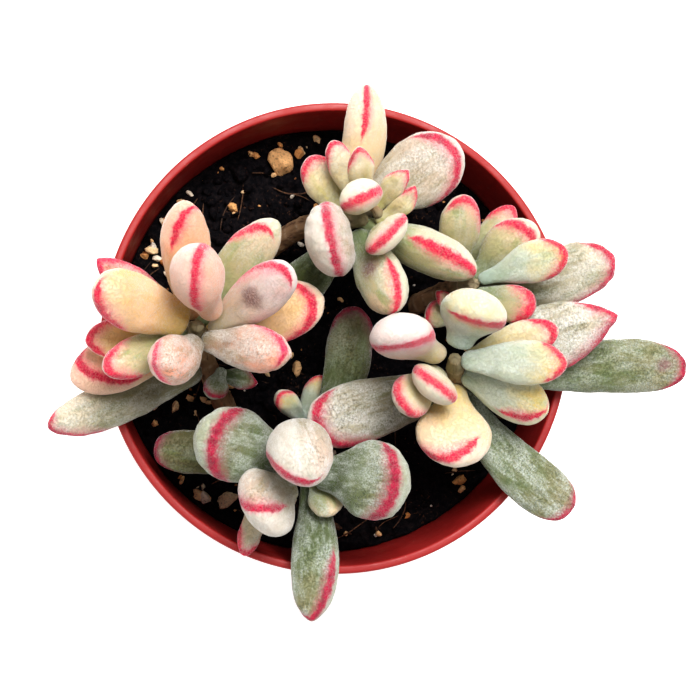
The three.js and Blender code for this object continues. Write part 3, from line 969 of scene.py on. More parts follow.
        # a shallow channel down the upper face, soft dents, and the fine creases of a thirsty leaf
        channel = np.clip(np.sin(turn), 0, 1) ** 2 * np.exp(-((flat[:, 0] / (0.22 * self.width)) ** 2))
        shift = -0.45 * channel * (1 - smooth(share, 0.3, 0.75)) * body
        shift += 0.28 * lumps(flat, 0.6 * self.width, seed) * body
        crease = np.abs(lumps(flat * (1.0, 0.6, 1.0), 4.0, seed + 0.5))
        shift += self.wrinkle * (0.9 * (crease - 0.25) + 0.35 * lumps(flat, 1.7, seed + 0.2)) * body
        points = points + normals * shift[:, None]
        margin, strength = self.margin(spine, share, flat, points)
        set_co(piece, points * MM)
        note(piece, "along", share)
        note(piece, "margin", margin)
        note(piece, "line", strength)
        note(piece, "flat", (flat + (seed * 37.0, seed * 11.0, 0)) * MM)
        note(piece, "bloom", np.full(len(share), self.bloom))
        stain = np.zeros(len(share))
        if self.bruise:
            at, left, radius = self.bruise
            far = np.hypot((share - at) * self.length, flat[:, 0] - left) + 0.6 * lumps(flat, 2.0, seed)
            stain = (1 - smooth(far, 0.2 * radius, radius)) * (flat[:, 2] > 0)
        note(piece, "bruise", stain)
        return piece


# Stems and side shoots


def rod(name: str, line: Centreline, radius_at: Callable, sides: int, rows: int) -> bpy.types.Object:
    """Make a round-ended rod along a line, by cutting a cylinder into rows and bending it.

    Three rows of faces round off each end.

    Args:
        name: the new piece's name.
        line: its centre line.
        radius_at: gives the radius in mm at a share of the length.
        sides: how many faces go round it.
        rows: how many rows of faces go along it.

    Returns:
        The rod in metres, with the attribute "along".
    """
    pick()
    bpy.ops.mesh.primitive_cylinder_add(vertices=sides, radius=1, depth=1, location=(0, 0, 0.5))
    piece = take_new(name)
    settle(piece)
    bpy.ops.object.mode_set(mode="EDIT")
    bpy.ops.mesh.select_mode(type="EDGE")
    bpy.ops.mesh.select_all(action="DESELECT")
    cage = bmesh.from_edit_mesh(piece.data)
    for edge in cage.edges:
        edge.select_set(abs(edge.verts[0].co.z - edge.verts[1].co.z) > 0.5)
    bpy.ops.mesh.subdivide(number_cuts=rows - 1)
    bpy.ops.object.mode_set(mode="OBJECT")
    drawn = co_of(piece)
    share = drawn[:, 2].copy()
    reference = np.array([1.0, 0, 0] if abs(line.heading(0.5)[2]) > 0.7 else [0, 0, 1.0])
    placed = np.zeros_like(drawn)
    for height in np.unique(np.round(share, 6)):
        row = np.abs(share - height) < 1e-5
        heading = line.heading(height)
        first = reference - heading * reference.dot(heading)
        first /= np.linalg.norm(first)
        second = np.cross(heading, first)
        end = max(0.0, 1 - height * rows / 3, 1 - (1 - height) * rows / 3)
        radius = radius_at(height) * math.sqrt(max(0.004, 1 - end * end))
        way = drawn[row]
        placed[row] = line.at(height) + radius * (way[:, :1] * first + way[:, 1:2] * second)
    set_co(piece, placed * MM)
    note(piece, "along", share)
    # bark grain runs along the rod, so it is drawn out that way
    around = drawn[:, :2] * radius_at(0.3)
    note(piece, "bark", np.column_stack([around, 0.22 * share * line.length]) * MM)
    return piece


@dataclass(frozen=True)
class Stem:
    """A woody stem that stands in the soil and carries one head of leaves."""

    path: tuple[tuple[float, float, float], ...]
    root_radius: float = 2.7
    top_radius: float = 2.2
    scar_spacing: float = 5.0
    scar_height: float = 0.28

    def line(self) -> Centreline:
        """Give the stem's centre line."""
        return Centreline(self.path)

    def radius(self, line: Centreline, share: float) -> float:
        """Give the radius at a share of the length: thicker at each leaf scar, closing at the tip.

        Args:
            line: the stem's centre line.
            share: the share of its length.

        Returns:
            The radius in mm.
        """
        ring = max(0.0, math.cos(2 * math.pi * share * line.length / self.scar_spacing)) ** 2
        plain = self.root_radius + (self.top_radius - self.root_radius) * share
        return (plain + self.scar_height * ring) * (1 - 0.35 * float(smooth(share, 0.85, 1.0)))

    def build(self, name: str, line: Centreline, seed: int) -> bpy.types.Object:
        """Make the stem with its scars and cracked cork.

        Args:
            name: the new piece's name.
            line: the stem's centre line.
            seed: makes its cork its own.

        Returns:
            The stem, with the attributes "along" and "scar".
        """
        piece = rod(name, line, partial(self.radius, line), sides=32, rows=130)
        points, normals = co_of(piece) / MM, normals_of(piece)
        share = np.zeros(len(points))
        piece.data.attributes["along"].data.foreach_get("value", share)
        bark = np.zeros(3 * len(points))
        piece.data.attributes["bark"].data.foreach_get("vector", bark)
        bark = bark.reshape(-1, 3) / MM
        cork = lumps(points, 1.8, seed)
        ring = np.clip(np.cos(2 * np.pi * share * line.length / self.scar_spacing), 0, 1) ** 2
        shift = 0.5 * np.abs(lumps(bark, 1.2, seed)) + 0.14 * cork - 0.2 - 0.18 * ring
        set_co(piece, (points + normals * shift[:, None]) * MM)
        wave = np.cos(2 * np.pi * (share * line.length + 0.5 * cork) / self.scar_spacing)
        note(piece, "scar", np.clip(wave, 0, 1) ** 6)
        return piece


@dataclass(frozen=True)
class Shoot:
    """A side shoot: a thin twig with a few small leaves, each on the twig itself."""

    path: tuple[tuple[float, float, float], ...]
    skin: Skin
    leaves: tuple[Leaf, ...]
    line_from: float = 0.6
    line_mm: float = 0.6
    lift: float = 0.3
    radius: float = 1.3

    def grown(self) -> list[Leaf]:
        """Give the leaves the shoot's own skin and red line."""
        line = {"line": (self.line_from, self.line_from), "line_mm": self.line_mm, "lift": self.lift}
        return [replace(leaf, on_twig=True, skin=self.skin, **line) for leaf in self.leaves]


@dataclass(frozen=True)
class Head:
    """One leafy head: its stem, its leaves from the newest out, and its side shoot."""

    name: str
    stem: Stem
    leaves: tuple[Leaf, ...]
    shoot: Shoot
    seed: int

    SEEDS = 20  # set aside for each head's leaves
    SHOOT_SEED = 15

    def build(self, blank: bpy.types.Object, cork: bpy.types.Material, skins: dict) -> None:
        """Make and dress the whole head.

        Args:
            blank: the ball that each leaf is shaped from.
            cork: the stem's material.
            skins: the leaf materials by skin.
        """
        line = self.stem.line()
        dress(self.stem.build(f"{self.name}_bark", line, self.seed), cork, f"{self.name}_stem")
        radius_at = partial(self.stem.radius, line)
        for i, leaf in enumerate(self.leaves, 1):
            seed = self.SEEDS * self.seed + i
            piece = leaf.build(blank, f"{self.name}_blade_{i:02d}", line, radius_at, seed)
            dress(piece, skins[leaf.skin], f"{self.name}_leaf_{i:02d}")
        twig = Centreline(self.shoot.path)
        piece = rod(f"{self.name}_twig", twig, lambda share: self.shoot.radius, sides=20, rows=24)
        note(piece, "scar", np.zeros(len(piece.data.vertices)))
        dress(piece, cork, f"{self.name}_sprout")
        for i, leaf in enumerate(self.shoot.grown(), 1):
            seed = self.SEEDS * self.seed + self.SHOOT_SEED + i
            piece = leaf.build(blank, f"{self.name}_shoot_blade_{i}", twig, lambda share: 0.0, seed)
            dress(piece, skins[leaf.skin], f"{self.name}_sprout")


@dataclass(frozen=True)
class Plant:
    """The whole plant: five heads of leaves, placed round the pot as they grow."""

    segments: int = 56
    rings: int = 48
    heads: tuple[Head, ...] = (
        Head("left", Stem((
            (-23, -18, 57), (-24.5, -15.5, 70), (-29, -7, 79), (-32.4, -1, 91), (-33.7, 2, 109.5),
        )), (
            Leaf(95.5, 30, 27.8, 11, 7, 8, root=112,
                 skin=Skin.SALMON, line=(0.62, 0.88), lift=1.8, tilt=28),
            Leaf(116, 58, 23, 12.4, 11.6, 0, root=40, roll=50,
                 skin=Skin.PEACH, line=(0.3, 0.7), lift=0.8, line_mm=1.0),
            Leaf(53, 24, 29, 10.5, 7, 12.3, root=68, sweep=-12,
                 skin=Skin.SAGE, line=(0.6, 0.9), lift=1.8),
            Leaf(39.5, 50, 29.5, 11, 7.6, 6.5, root=2, neck=0.3,
                 skin=Skin.BLUSH, line=(0.35, 0.9), lift=1.0, bloom=1.4, bruise=(0.58, 0.5, 4.4)),
            Leaf(17, 16, 26.5, 13.8, 7.5, 10.6, root=0, neck=0.3, waist=1,
                 skin=Skin.HONEY, line=(0.7, 0.45), lift=2.0),
            Leaf(-11, 42, 22.5, 10.5, 8, 3.4, root=-54, point=0.45,
                 skin=Skin.RUSSET, line=(0.45, 0.9), lift=0.8, wrinkle=0.5),
            Leaf(161, 38, 26, 12.6, 8.5, 2, neck=0.55,
                 skin=Skin.HONEY, line=(0.5, 0.97), lift=0.6, line_mm=1.3),
            Leaf(143, 20, 26.5, 9.1, 5, 16, point=0.7, skin=Skin.RUSSET, line=(0.8, 0.4), lift=0.6),
            Leaf(185, 19, 23, 9.3, 5.2, 10.6, skin=Skin.HONEY, line=(0.8, 0.45), lift=0.8),
            Leaf(204, 29, 22.3, 8.8, 5.8, 7.1, skin=Skin.SAGE, line=(0.6, 0.55), lift=0.8),
            Leaf(200, 7, 27, 12.5, 6, 13.8, skin=Skin.SALMON, line=(0.4, 0.7), lift=2.4, tilt=20),
            Leaf(206, 55, 17.5, 11, 9, 2, root=262, sweep=-50, point=0.6,
                 skin=Skin.RUSSET, line=(0.75, 0.7), lift=-1.5, wrinkle=0.5, line_mm=0.8),
            Leaf(201, 17.5, 37.5, 10, 7, 22.8, root=262, sweep=-6, neck=0.55, fullest=0.6,
                 skin=Skin.ASH, line=(0.6, 0.92), lift=0.3, wrinkle=0.3, bloom=0.6),
        ), Shoot(((-26.2, -9.2, 81), (-26.4, -8.5, 83.5), (-26.6, -7.9, 86)), Skin.GREY_GREEN, (
            Leaf(-112, 35, 7.5, 5.6, 4.2, 0.5),
            Leaf(-14, 12, 8.6, 5, 3.6, 2, point=0.8),
        ), line_from=0.45), 1),
        Head("back", Stem(((-17, 18, 57), (-14, 21.5, 70), (-7, 25.8, 84), (4.2, 25.8, 105))), (
            Leaf(83, 22, 30.5, 12, 9, 16, root=40, sweep=52, roll=45, neck=0.35,
                 skin=Skin.CREAM, line=(0.62, 0.93), lift=0.9, tilt=24, line_mm=1.0),
            Leaf(124, 24, 14.5, 8.6, 6, 7.6, skin=Skin.IVORY, line=(0.7, 0.45), lift=0.6),
            Leaf(115, 86, 11, 10, 7.5, 0, skin=Skin.IVORY, line=(0.5, 0.5), lift=0.2, line_mm=1.1),
            Leaf(-45, 80, 11.5, 12, 6, 0, skin=Skin.IVORY, line=(0.5, 0.5), lift=0.2, line_mm=1.0),
            Leaf(33, 13, 29, 16, 9, 12, root=20, neck=0.26, waist=1, fullest=0.62,
                 skin=Skin.PEARL, line=(0.7, 0.5), lift=2.0, wrinkle=0.4, bloom=0.6),
            Leaf(-24, 18, 27.6, 10.5, 9.5, 8.6, root=-15, roll=50,
                 skin=Skin.SAGE, line=(0.4, 0.95), lift=0.3, tilt=25, line_mm=1.3),
            Leaf(-66, 28, 21, 11.8, 10, 5.5, root=-72, roll=50,
                 skin=Skin.SAGE, line=(0.5, 0.95), lift=0.3, bloom=1.3, bruise=(0.5, 2.0, 3.6), tilt=10),
            Leaf(192, 75, 20, 16.5, 10.5, 4, root=235,
                 skin=Skin.PEARL, line=(0.55, 0.55), lift=0.2, wrinkle=0.6, bloom=0.5),
            Leaf(227, -20, 30, 11, 7, 11, root=290, skin=Skin.OLIVE, line=(0.95, 0.95)),
        ), Shoot(((1.6, 30, 101.3), (4.2, 30.2, 101.5), (6.8, 28.6, 101.5), (7.8, 26.2, 101.3)), Skin.IVORY, (
            Leaf(119, 36, 17, 6, 4.2, 7.5),
            Leaf(104, 42, 15, 6, 4.2, 5.5, point=0.6),
            Leaf(52, 40, 13, 5.6, 4, 2.5, sweep=-10, point=0.9),
            Leaf(46, 34, 12, 5, 3.4, 0, sweep=50, point=0.9),
        )), 2),
        Head("right", Stem(((20, 8, 57), (22, 9, 70), (26, 11, 84), (29.5, 12, 101))), (
            Leaf(90, 35, 20, 9.4, 6.5, 8.2, root=115, skin=Skin.SAGE, line=(0.85, 0.5), lift=0.7),
            Leaf(55, 10, 20.5, 7.6, 4.5, 13, skin=Skin.SAGE, line=(0.7, 0.7), lift=0.6),
            Leaf(41.5, 26, 18.5, 11.6, 7, 7.4, neck=0.36, waist=1,
                 skin=Skin.SAGE, line=(0.6, 0.65), lift=1.9),
            Leaf(18, 33, 21, 9.6, 6, 2.2, root=25, neck=0.3, waist=1, fullest=0.62,
                 skin=Skin.MINT, line=(0.75, 0.6), lift=0.5),
            Leaf(-17, 39, 14.5, 9, 5.4, 3.5, root=-45,
                 skin=Skin.SAGE, line=(0.4, 0.7), lift=0.7, line_mm=1.6),
            Leaf(13, 9, 33.5, 13.5, 8, 10.5, sweep=24, neck=0.5, fullest=0.6, point=0.1,
                 skin=Skin.ASH, line=(0.8, 0.55), lift=1.0, wrinkle=0.5, bloom=0.7),
        ), Shoot(((27.4, 5, 82), (27, 4.6, 85.5), (27.5, 5.8, 90)), Skin.SAGE, (
            Leaf(138, 30, 8.3, 3.6, 3, 0.5, point=0.8),
            Leaf(164, 20, 7, 6.6, 4, 5),
        )), 3),
        Head("middle", Stem(((31, -17, 57), (30.5, -15.5, 70), (28, -11, 86), (23.9, -4.8, 106))), (
            Leaf(74, 70, 18, 15, 9, 1, curl=80, waist=1,
                 skin=Skin.MINT, line=(0.75, 0.35), lift=2.6, line_mm=1.3),
            Leaf(159, 58, 23.5, 14, 9.5, 4, curl=70, roll=-60, waist=1,
                 skin=Skin.BLUSH, line=(0.3, 0.3), lift=3.2, line_mm=1.2),
            Leaf(-95, 33, 20, 17.2, 9, 12.5, root=-102, neck=0.35, waist=1,
                 skin=Skin.CREAM, line=(0.7, 0.6), lift=1.9, line_mm=1.2, tilt=22),
            Leaf(-27, 25, 20.5, 12, 8.5, 8.8, roll=40,
                 skin=Skin.MINT, line=(0.95, 0.5), lift=1.2, tilt=-45, line_mm=1.2),
            Leaf(-3, 36, 24.5, 9.8, 6.5, 2, skin=Skin.MINT, line=(0.72, 0.8), lift=0.7),
            Leaf(20.2, 27, 22, 8.8, 4.2, 6.6, root=28, skin=Skin.IVORY, line=(0.7, 0.8), lift=0.7),
            Leaf(20, 18.5, 36, 15.5, 6.8, 12.3, root=30, waist=1, point=0.9,
                 skin=Skin.ASH, line=(0.75, 0.35), lift=0.7, wrinkle=0.6, bloom=1.1, line_mm=1.3),
            Leaf(2, 9, 49.5, 12.6, 7.2, 16.2, sweep=-14, neck=0.45, fullest=0.7, point=0,
                 bruise=(0.9, 0.5, 2.6), skin=Skin.GREY_GREEN,
                 line=(0.85, 0.88), lift=0.4, wrinkle=0.35, bloom=0.7),
            Leaf(-46, 7, 36.5, 12.3, 7, 16.2, root=-70, sweep=30, neck=0.45, fullest=0.7, point=0,
                 skin=Skin.GREY_GREEN, line=(0.9, 0.86), lift=0.4, wrinkle=0.35),
            Leaf(196, 2, 33, 14.5, 8, 19.5, neck=0.55, fullest=0.66, point=0,
                 skin=Skin.ASH, line=(0.5, 0.75), lift=1.6, wrinkle=0.4, bloom=1.0, line_mm=1.3),
        ), Shoot(((21.7, -11, 95), (21.4, -9.2, 97), (21.4, -8.2, 99)), Skin.IVORY, (
            Leaf(233, 74, 14, 12, 6.5, 0, curl=30, waist=1),
            Leaf(215, 42, 16, 9.8, 5.5, 1.5, curl=50, waist=1),
        ), line_from=0.5, line_mm=1.05, radius=1.5), 4),
        Head("front", Stem(((0, -22, 57), (-1, -23.5, 70), (-4.5, -27, 83), (-9, -31.5, 98))), (
            Leaf(105, 107, 26, 14.5, 10, 0.5, root=120, curl=135, waist=1,
                 skin=Skin.PEARL, line=(0.4, 0.93), lift=-2.2, line_mm=1.0, bloom=0.8, wrinkle=0.3),
            Leaf(163.5, 32, 27.3, 16.8, 9.5, 6.3, root=160, neck=0.32, waist=1,
                 skin=Skin.GREY_GREEN, line=(0.55, 0.6), lift=2.8, wrinkle=0.55, line_mm=1.3),
            Leaf(213, 52, 17, 16.5, 9, 2.2, waist=1,
                 skin=Skin.PEARL, line=(0.6, 0.55), lift=1.5, tilt=50, bloom=0.7),
            Leaf(-7, 34, 22, 18, 10, 3.8, waist=1,
                 skin=Skin.GREY_GREEN, line=(0.65, 0.5), lift=2.8, wrinkle=0.6, line_mm=1.3),
            Leaf(176.5, 2, 33.5, 10, 7, 13.6, neck=0.5, fullest=0.72, point=0,
                 skin=Skin.OLIVE, line=(0.86, 0.86), lift=0.3),
            Leaf(-66, 30, 9.8, 8, 3.8, 8.1, skin=Skin.SAGE, line=(0.97, 0.97), bloom=1.8),
            Leaf(-93, 17, 33.5, 10.8, 7.5, 11.5, sweep=-12, neck=0.5, fullest=0.6, point=0.4,
                 skin=Skin.GREY_GREEN, line=(0.5, 0.93), lift=0.8, tilt=28, line_mm=1.1),
            Leaf(238, 6, 24, 5.5, 4, 11, sweep=52, fullest=0.66, point=0,
                 skin=Skin.IVORY, line=(0.86, 0.7), lift=0.3, bloom=1.8),
            Leaf(77.5, 4, 31, 10.8, 7, 18, root=75, sweep=30, neck=0.55, fullest=0.66, point=0,
                 skin=Skin.OLIVE, line=(0.8, 0.6), lift=0.4),
        ), Shoot(((-5, -19.5, 60), (-6, -18.8, 70), (-7, -18.2, 76)), Skin.MINT, (
            Leaf(138, 45, 11.5, 5.4, 4.6, 0),
            Leaf(66, 20, 11.5, 5.2, 4, 1.5),
        )), 5),
    )

    def build(self) -> None:
        """Make every head from one leaf blank."""
        pick()
        bpy.ops.mesh.primitive_uv_sphere_add(segments=self.segments, ring_count=self.rings, radius=1)
        blank = take_new("leaf_blank")
        cork = CorkyStem().build()
        skins = {skin: skin.value.build() for skin in Skin}
        for head in self.heads:
            head.build(blank, cork, skins)
        bpy.data.objects.remove(blank)


# The pot and what fills it


@dataclass(frozen=True)
class View:
    """The photograph's view: where its camera stands and looks, and its lens."""

    eye: tuple[float, float, float] = (-69.3, -18.6, 633.3)
    target: tuple[float, float, float] = (2.8, -2.8, 88.0)
    lens: float = 123.7
    film: float = 36.0
    pixels: int = 700

    def axes(self) -> tuple[Vector, Vector, Vector]:
        """Give the ways that run right, up and backwards in the picture."""
        back = (Vector(self.eye) - Vector(self.target)).normalized()
        right = Vector((0, 1, 0)).cross(back).normalized()
        return right, back.cross(right), back

    def on_level(self, across: float, down: float, level: float) -> Vector:
        """Find the place at a height that a pixel of the photograph shows.

        Args:
            across: pixels from the left.
            down: pixels from the top.
            level: the height in mm.

        Returns:
            The place in mm.
        """
        right, up, back = self.axes()
        middle = self.pixels / 2
        depth = self.lens / self.film * self.pixels
        way = right * (across - middle) + up * (middle - down) - back * depth
        return Vector(self.eye) + way * ((level - self.eye[2]) / way.z)


@dataclass(frozen=True)
class Pot:
    """A round moulded nursery pot: flared wall, banded rim with a rolled lip, and drain holes."""

    height: float = 88.0
    foot_radius: float = 42.8
    wall_top: float = 52.2
    band_foot: float = 77.0
    rim_radius: float = 54.0
    lip_inside: float = 52.1
    floor: float = 1.8
    inside_under_band: float = 50.9
    inside_at_floor: float = 41.5
    drain_holes: int = 8
    drain_radius: float = 3.5
    drain_circle: float = 33.0
    drill_length: float = 8.0
    drill_middle: float = 0.5  # its height
    drill_sides: int = 32
    sides: int = 192
    fillet_steps: int = 6

    def inside(self, z: float) -> float:
        """Give the inside radius at a height.

        Args:
            z: the height in mm.

        Returns:
            The radius in mm.
        """
        if z > self.band_foot:
            share = (z - self.band_foot) / (self.height - self.band_foot)
            return self.inside_under_band + (self.lip_inside - self.inside_under_band) * share
        share = (z - self.floor) / (self.band_foot - self.floor)
        return self.inside_at_floor + (self.inside_under_band - self.inside_at_floor) * share

    def profile(self) -> list[tuple[float, float]]:
        """List the wall's outline from the foot, over the lip and down to the inside floor.

        Returns:
            The radius and height of each point, in mm.
        """
        # each corner's radius and height, and how far its rounding reaches
        corners = [
            (self.foot_radius - 3, 0, 0),
            (self.foot_radius, 0, 1.6),
            (self.wall_top, self.band_foot - 0.6, 0.5),
            (self.wall_top + 1.2, self.band_foot, 0.4),
            (self.rim_radius, self.height, 0.8),
            (self.lip_inside, self.height, 0.6),
            (self.inside_under_band, self.band_foot, 1.5),
            (self.inside(self.floor + 0.6), self.floor, 1.8),
            (self.inside_at_floor - 4, self.floor, 0),
        ]
        outline = [corners[0][:2]]
        for before, (r, z, fillet), after in zip(corners, corners[1:], corners[2:]):
            here = np.array([r, z])
            back = np.array(before[:2]) - here
            on = np.array(after[:2]) - here
            start, end = (here + way / np.linalg.norm(way) * fillet for way in (back, on))
            for t in np.linspace(0, 1, self.fillet_steps):
                outline.append(tuple((1 - t) ** 2 * start + 2 * t * (1 - t) * here + t * t * end))
        return [*outline, corners[-1][:2]]

    def build(self) -> bpy.types.Object:
        """Extrude the pot ring by ring from its underside, and cut the drain holes.

        Returns:
            The finished pot.
        """
        outline = self.profile()
        pick()
        bpy.ops.mesh.primitive_circle_add(vertices=self.sides, radius=outline[0][0] * MM, fill_type="NGON")
        pot = take_new("moulded_pot")
        bpy.ops.object.mode_set(mode="EDIT")
        bpy.ops.mesh.select_all(action="SELECT")
        for (r0, z0), (r1, z1) in zip(outline, outline[1:]):
            bpy.ops.mesh.extrude_region_move(TRANSFORM_OT_translate={"value": (0, 0, (z1 - z0) * MM)})
            bpy.ops.transform.resize(value=(r1 / r0, r1 / r0, 1), center_override=(0, 0, z1 * MM))
        bpy.ops.mesh.select_all(action="SELECT")
        bpy.ops.mesh.normals_make_consistent(inside=False)
        bpy.ops.object.mode_set(mode="OBJECT")
        self._drill(pot)
        return pot

    def _drill(self, pot: bpy.types.Object) -> None:
        """Cut the ring of drain holes through the floor.

        Args:
            pot: the pot.
        """
        drills = []
        for i in range(self.drain_holes):
            turn = 2 * math.pi * i / self.drain_holes
            x, y = self.drain_circle * math.cos(turn), self.drain_circle * math.sin(turn)
            place = Vector((x, y, self.drill_middle)) * MM
            size = {"radius": self.drain_radius * MM, "depth": self.drill_length * MM}
            pick()
            bpy.ops.mesh.primitive_cylinder_add(vertices=self.drill_sides, location=place, **size)
            drills.append(take_new(f"drill_{i}"))
        drill = join(drills, "drills")
        cut = pot.modifiers.new("drain holes", "BOOLEAN")
        cut.operation = "DIFFERENCE"
        cut.object = drill
        cut.solver = "EXACT"
        pick(pot)
        bpy.ops.object.modifier_apply(modifier=cut.name)
        bpy.data.objects.remove(drill)


@dataclass(frozen=True)
class Soil:
    """The potting mix: clumpy damp peat up to the band, with grit, bark chips and dry fibres on it."""

    pot: Pot
    view: View
    level: float = 69.0
    swell: float = 1.1
    clearance: float = 0.3
    crumbs: int = 900
    small_grit: int = 120
    chips: int = 46
    fibres: int = 70
    seed: int = 7
    # each large grain's place, length and width, and its tone from brown to white
    grains: tuple[tuple[float, float, float, float, float], ...] = (
        (-11.4, 41.9, 6.6, 5.2, 0.45), (-38.6, 27.2, 2.8, 2.4, 0.3), (-34.6, 31.8, 2.4, 2.3, 0.5),
        (-22.5, 31.1, 2.4, 2.2, 0.4), (-6.7, 44.2, 2.6, 2.2, 0.3), (-41.5, 21, 3, 2.4, 0.6),
        (-38.5, 18, 2.6, 2.2, 0.2), (-30, -36.4, 4.4, 2.8, 0.6), (-23.8, -37.6, 5, 3, 0.7),
        (-7.4, -6.6, 3.3, 2.4, 0.5), (31.5, -33, 4, 2.2, 0.4),
    )
    # smaller grit among the stems and along the wall: each one's place and width in pixels of the
    # photograph, and its tone
    grit: tuple[tuple[float, float, float, float], ...] = (
        (317, 131, 10, 0.6), (301, 150.6, 10, 0.55), (278.6, 138, 6, 0.3), (280, 143, 5, 0.5),
        (250, 151, 8, 0.45), (274, 175, 6, 0.5), (244, 192, 7, 0.6), (232, 208, 7, 0.65),
        (235, 213, 6, 0.5), (219, 165, 5, 0.35), (180, 184, 8, 0.85), (174, 195, 7, 0.8),
        (178, 197, 5, 0.7), (164, 206, 6, 0.5), (157, 219, 11, 0.75), (196, 171, 4, 0.3),
        (153, 247, 9, 0.9), (141, 254, 9, 0.35), (157, 259, 9, 0.85), (166, 274, 7, 0.8),
        (293, 196, 5, 0.9), (272, 254, 7, 0.3), (155, 266, 6, 0.6), (149, 239, 5, 0.5),
        (267, 373, 7, 0.6), (297, 368, 9, 0.5), (292, 355, 6, 0.55), (155, 423, 7, 0.45),
        (175, 407, 11, 0.6), (190, 398, 8, 0.5), (195, 413, 6, 0.6), (203, 399, 8, 0.55),
        (230, 386, 8, 0.5), (229, 397, 11, 0.55), (182, 480, 8, 0.5), (205, 497, 14, 0.9),
        (203, 487, 6, 0.8), (228, 497, 12, 0.7), (237, 511, 6, 0.45), (303, 405, 7, 0.45),
        (378, 533, 7, 0.5), (404, 498, 6, 0.6), (215, 428, 7, 0.5), (262, 510, 5, 0.5),
        (168, 488, 5, 0.3), (345, 533, 5, 0.5), (470, 500, 8, 0.5), (455, 470, 6, 0.6),
        (388, 470, 5, 0.5), (322, 306, 7, 0.45), (340, 300, 6, 0.5), (404, 318, 6, 0.5),
        (415, 330, 5, 0.4), (262, 330, 7, 0.5), (210, 402, 8, 0.55), (168, 455, 4, 0.4),
    )
    # peat clods: place, length and width
    clods: tuple[tuple[float, float, float, float], ...] = (
        (-20.9, 39.6, 5.6, 4.2),
        (-13.3, -15.8, 5.4, 3.8),
    )

    GRIT_LEVEL = 69.3
    GRIT_REACH = 47.5  # from the pot's middle
    MM_PER_PIXEL = 0.2368
    CLOD_TINT = 0.4
    KINDS = 4  # of each grain, to be copied
    BREAKS = 12  # flat faces that a grain is broken to
    FIBRE_STEPS = 3  # bends of a fibre
    WALL_GAP = 2.2  # kept by what is strewn
    FIBRE_GAP = 1.5
    SHOWING = 0.22  # how far a grain's middle stands over the soil, as a share of its width

    def seen_grit(self) -> list[tuple[float, float, float, float]]:
        """Lay the grit that the photograph shows on the soil.

        Returns:
            Each one's place and width in mm, to a tenth, and its tone.
        """
        laid = []
        for across, down, width, tone in self.grit:
            place = self.view.on_level(across, down, self.GRIT_LEVEL).xy
            place *= min(1, self.GRIT_REACH / place.length)
            laid.append((round(place.x, 1), round(place.y, 1), round(width * self.MM_PER_PIXEL, 1), tone))
        return laid

    def height_at(self, x: float, y: float) -> float:
        """Give the soil's height at a place, with its clumps.

        Args:
            x: the place to the right, in mm.
            y: the place to the back, in mm.

        Returns:
            The height in mm.
        """
        swell = math.sin(0.11 * x + 1.3) * math.cos(0.13 * y - 0.4) + 0.5 * math.sin(0.31 * x - 0.27 * y)
        broad = noise.noise(Vector((x / 6.5, y / 6.5, 1.7)))
        clump = abs(noise.noise(Vector((x / 3.0, y / 3.0, 5.1))))
        crumb = noise.noise(Vector((x / 1.2, y / 1.2, 9.3)))
        return self.level + self.swell * swell + 1.2 * broad + 0.6 - 2.2 * clump + 0.7 * crumb

    def build(self) -> None:
        """Make and dress the soil and all that lies on it."""
        chance = random.Random(self.seed)
        mix, grit, bark = PottingMix().build(), Grit().build(), Bark().build()
        dress(self._bed(), mix, "soil")
        kinds = range(self.KINDS)
        stones = [self._stone(f"stone_{i}", fineness=3, rough=0.24, seed=i) for i in kinds]
        large = list(self.grains)
        large += [(x, y, s, s * chance.uniform(0.65, 0.95), tone) for x, y, s, tone in self.seen_grit()]
        dress(self._scatter("large_grains", stones, large, chance), grit, "soil")
        specks = [self._stone(f"speck_{i}", fineness=1, rough=0.3, seed=20 + i) for i in kinds]
        small = self._strew(self.small_grit, chance, sizes=(0.7, 2.2), narrow=(0.6, 1), tints=(0, 1))
        dress(self._scatter("small_grit", specks, small, chance), grit, "soil")
        crumbs = self._strew(self.crumbs, chance, sizes=(0.9, 3.2), narrow=(0.6, 1), tints=(0, 1))
        crumbs += [(x, y, long, wide, self.CLOD_TINT) for x, y, long, wide in self.clods]
        dress(self._scatter("peat_crumbs", specks, crumbs, chance), mix, "soil")
        chips = self._strew(self.chips, chance, sizes=(2, 5), narrow=(0.3, 0.5), tints=(0.2, 0.8))
        dress(self._scatter("bark_chips", specks, chips, chance, flat=0.35), bark, "soil")
        dress(self._fibres(chance), bark, "soil")
        for blank in (*stones, *specks):
            bpy.data.objects.remove(blank)

    def _bed(self) -> bpy.types.Object:
        """Shape a ball into the filled inside of the pot, clumpy on top.

        Returns:
            The bed, closed all round.
        """
        segments, rings, top_rings, foot_rings = 300, 110, 92, 4
        pick()
        bpy.ops.mesh.primitive_uv_sphere_add(segments=segments, ring_count=rings, radius=1)
        bed = take_new("peat_bed")
        ball = co_of(bed)
        ring = np.arccos(np.clip(ball[:, 2], -1, 1)) * rings / math.pi
        turn = np.arctan2(ball[:, 1], ball[:, 0])
        placed = np.zeros_like(ball)
        foot = self.pot.floor + self.clearance
        edge = self.pot.inside(self.level) - self.clearance
        for i, (row, angle) in enumerate(zip(ring, turn)):
            if row <= top_rings:
                radius = edge * row / top_rings
                z = self.height_at(radius * math.cos(angle), radius * math.sin(angle))
            elif row <= rings - foot_rings:
                share = (row - top_rings) / (rings - foot_rings - top_rings)
                high = self.height_at(edge * math.cos(angle), edge * math.sin(angle))
                z = high + (foot - high) * share
                radius = min(edge, self.pot.inside(z) - self.clearance)
            else:
                radius = (self.pot.inside(foot) - self.clearance - 1) * (rings - row) / foot_rings
                z = foot
            placed[i] = (radius * math.cos(angle), radius * math.sin(angle), z)
        set_co(bed, placed * MM)
        return bed

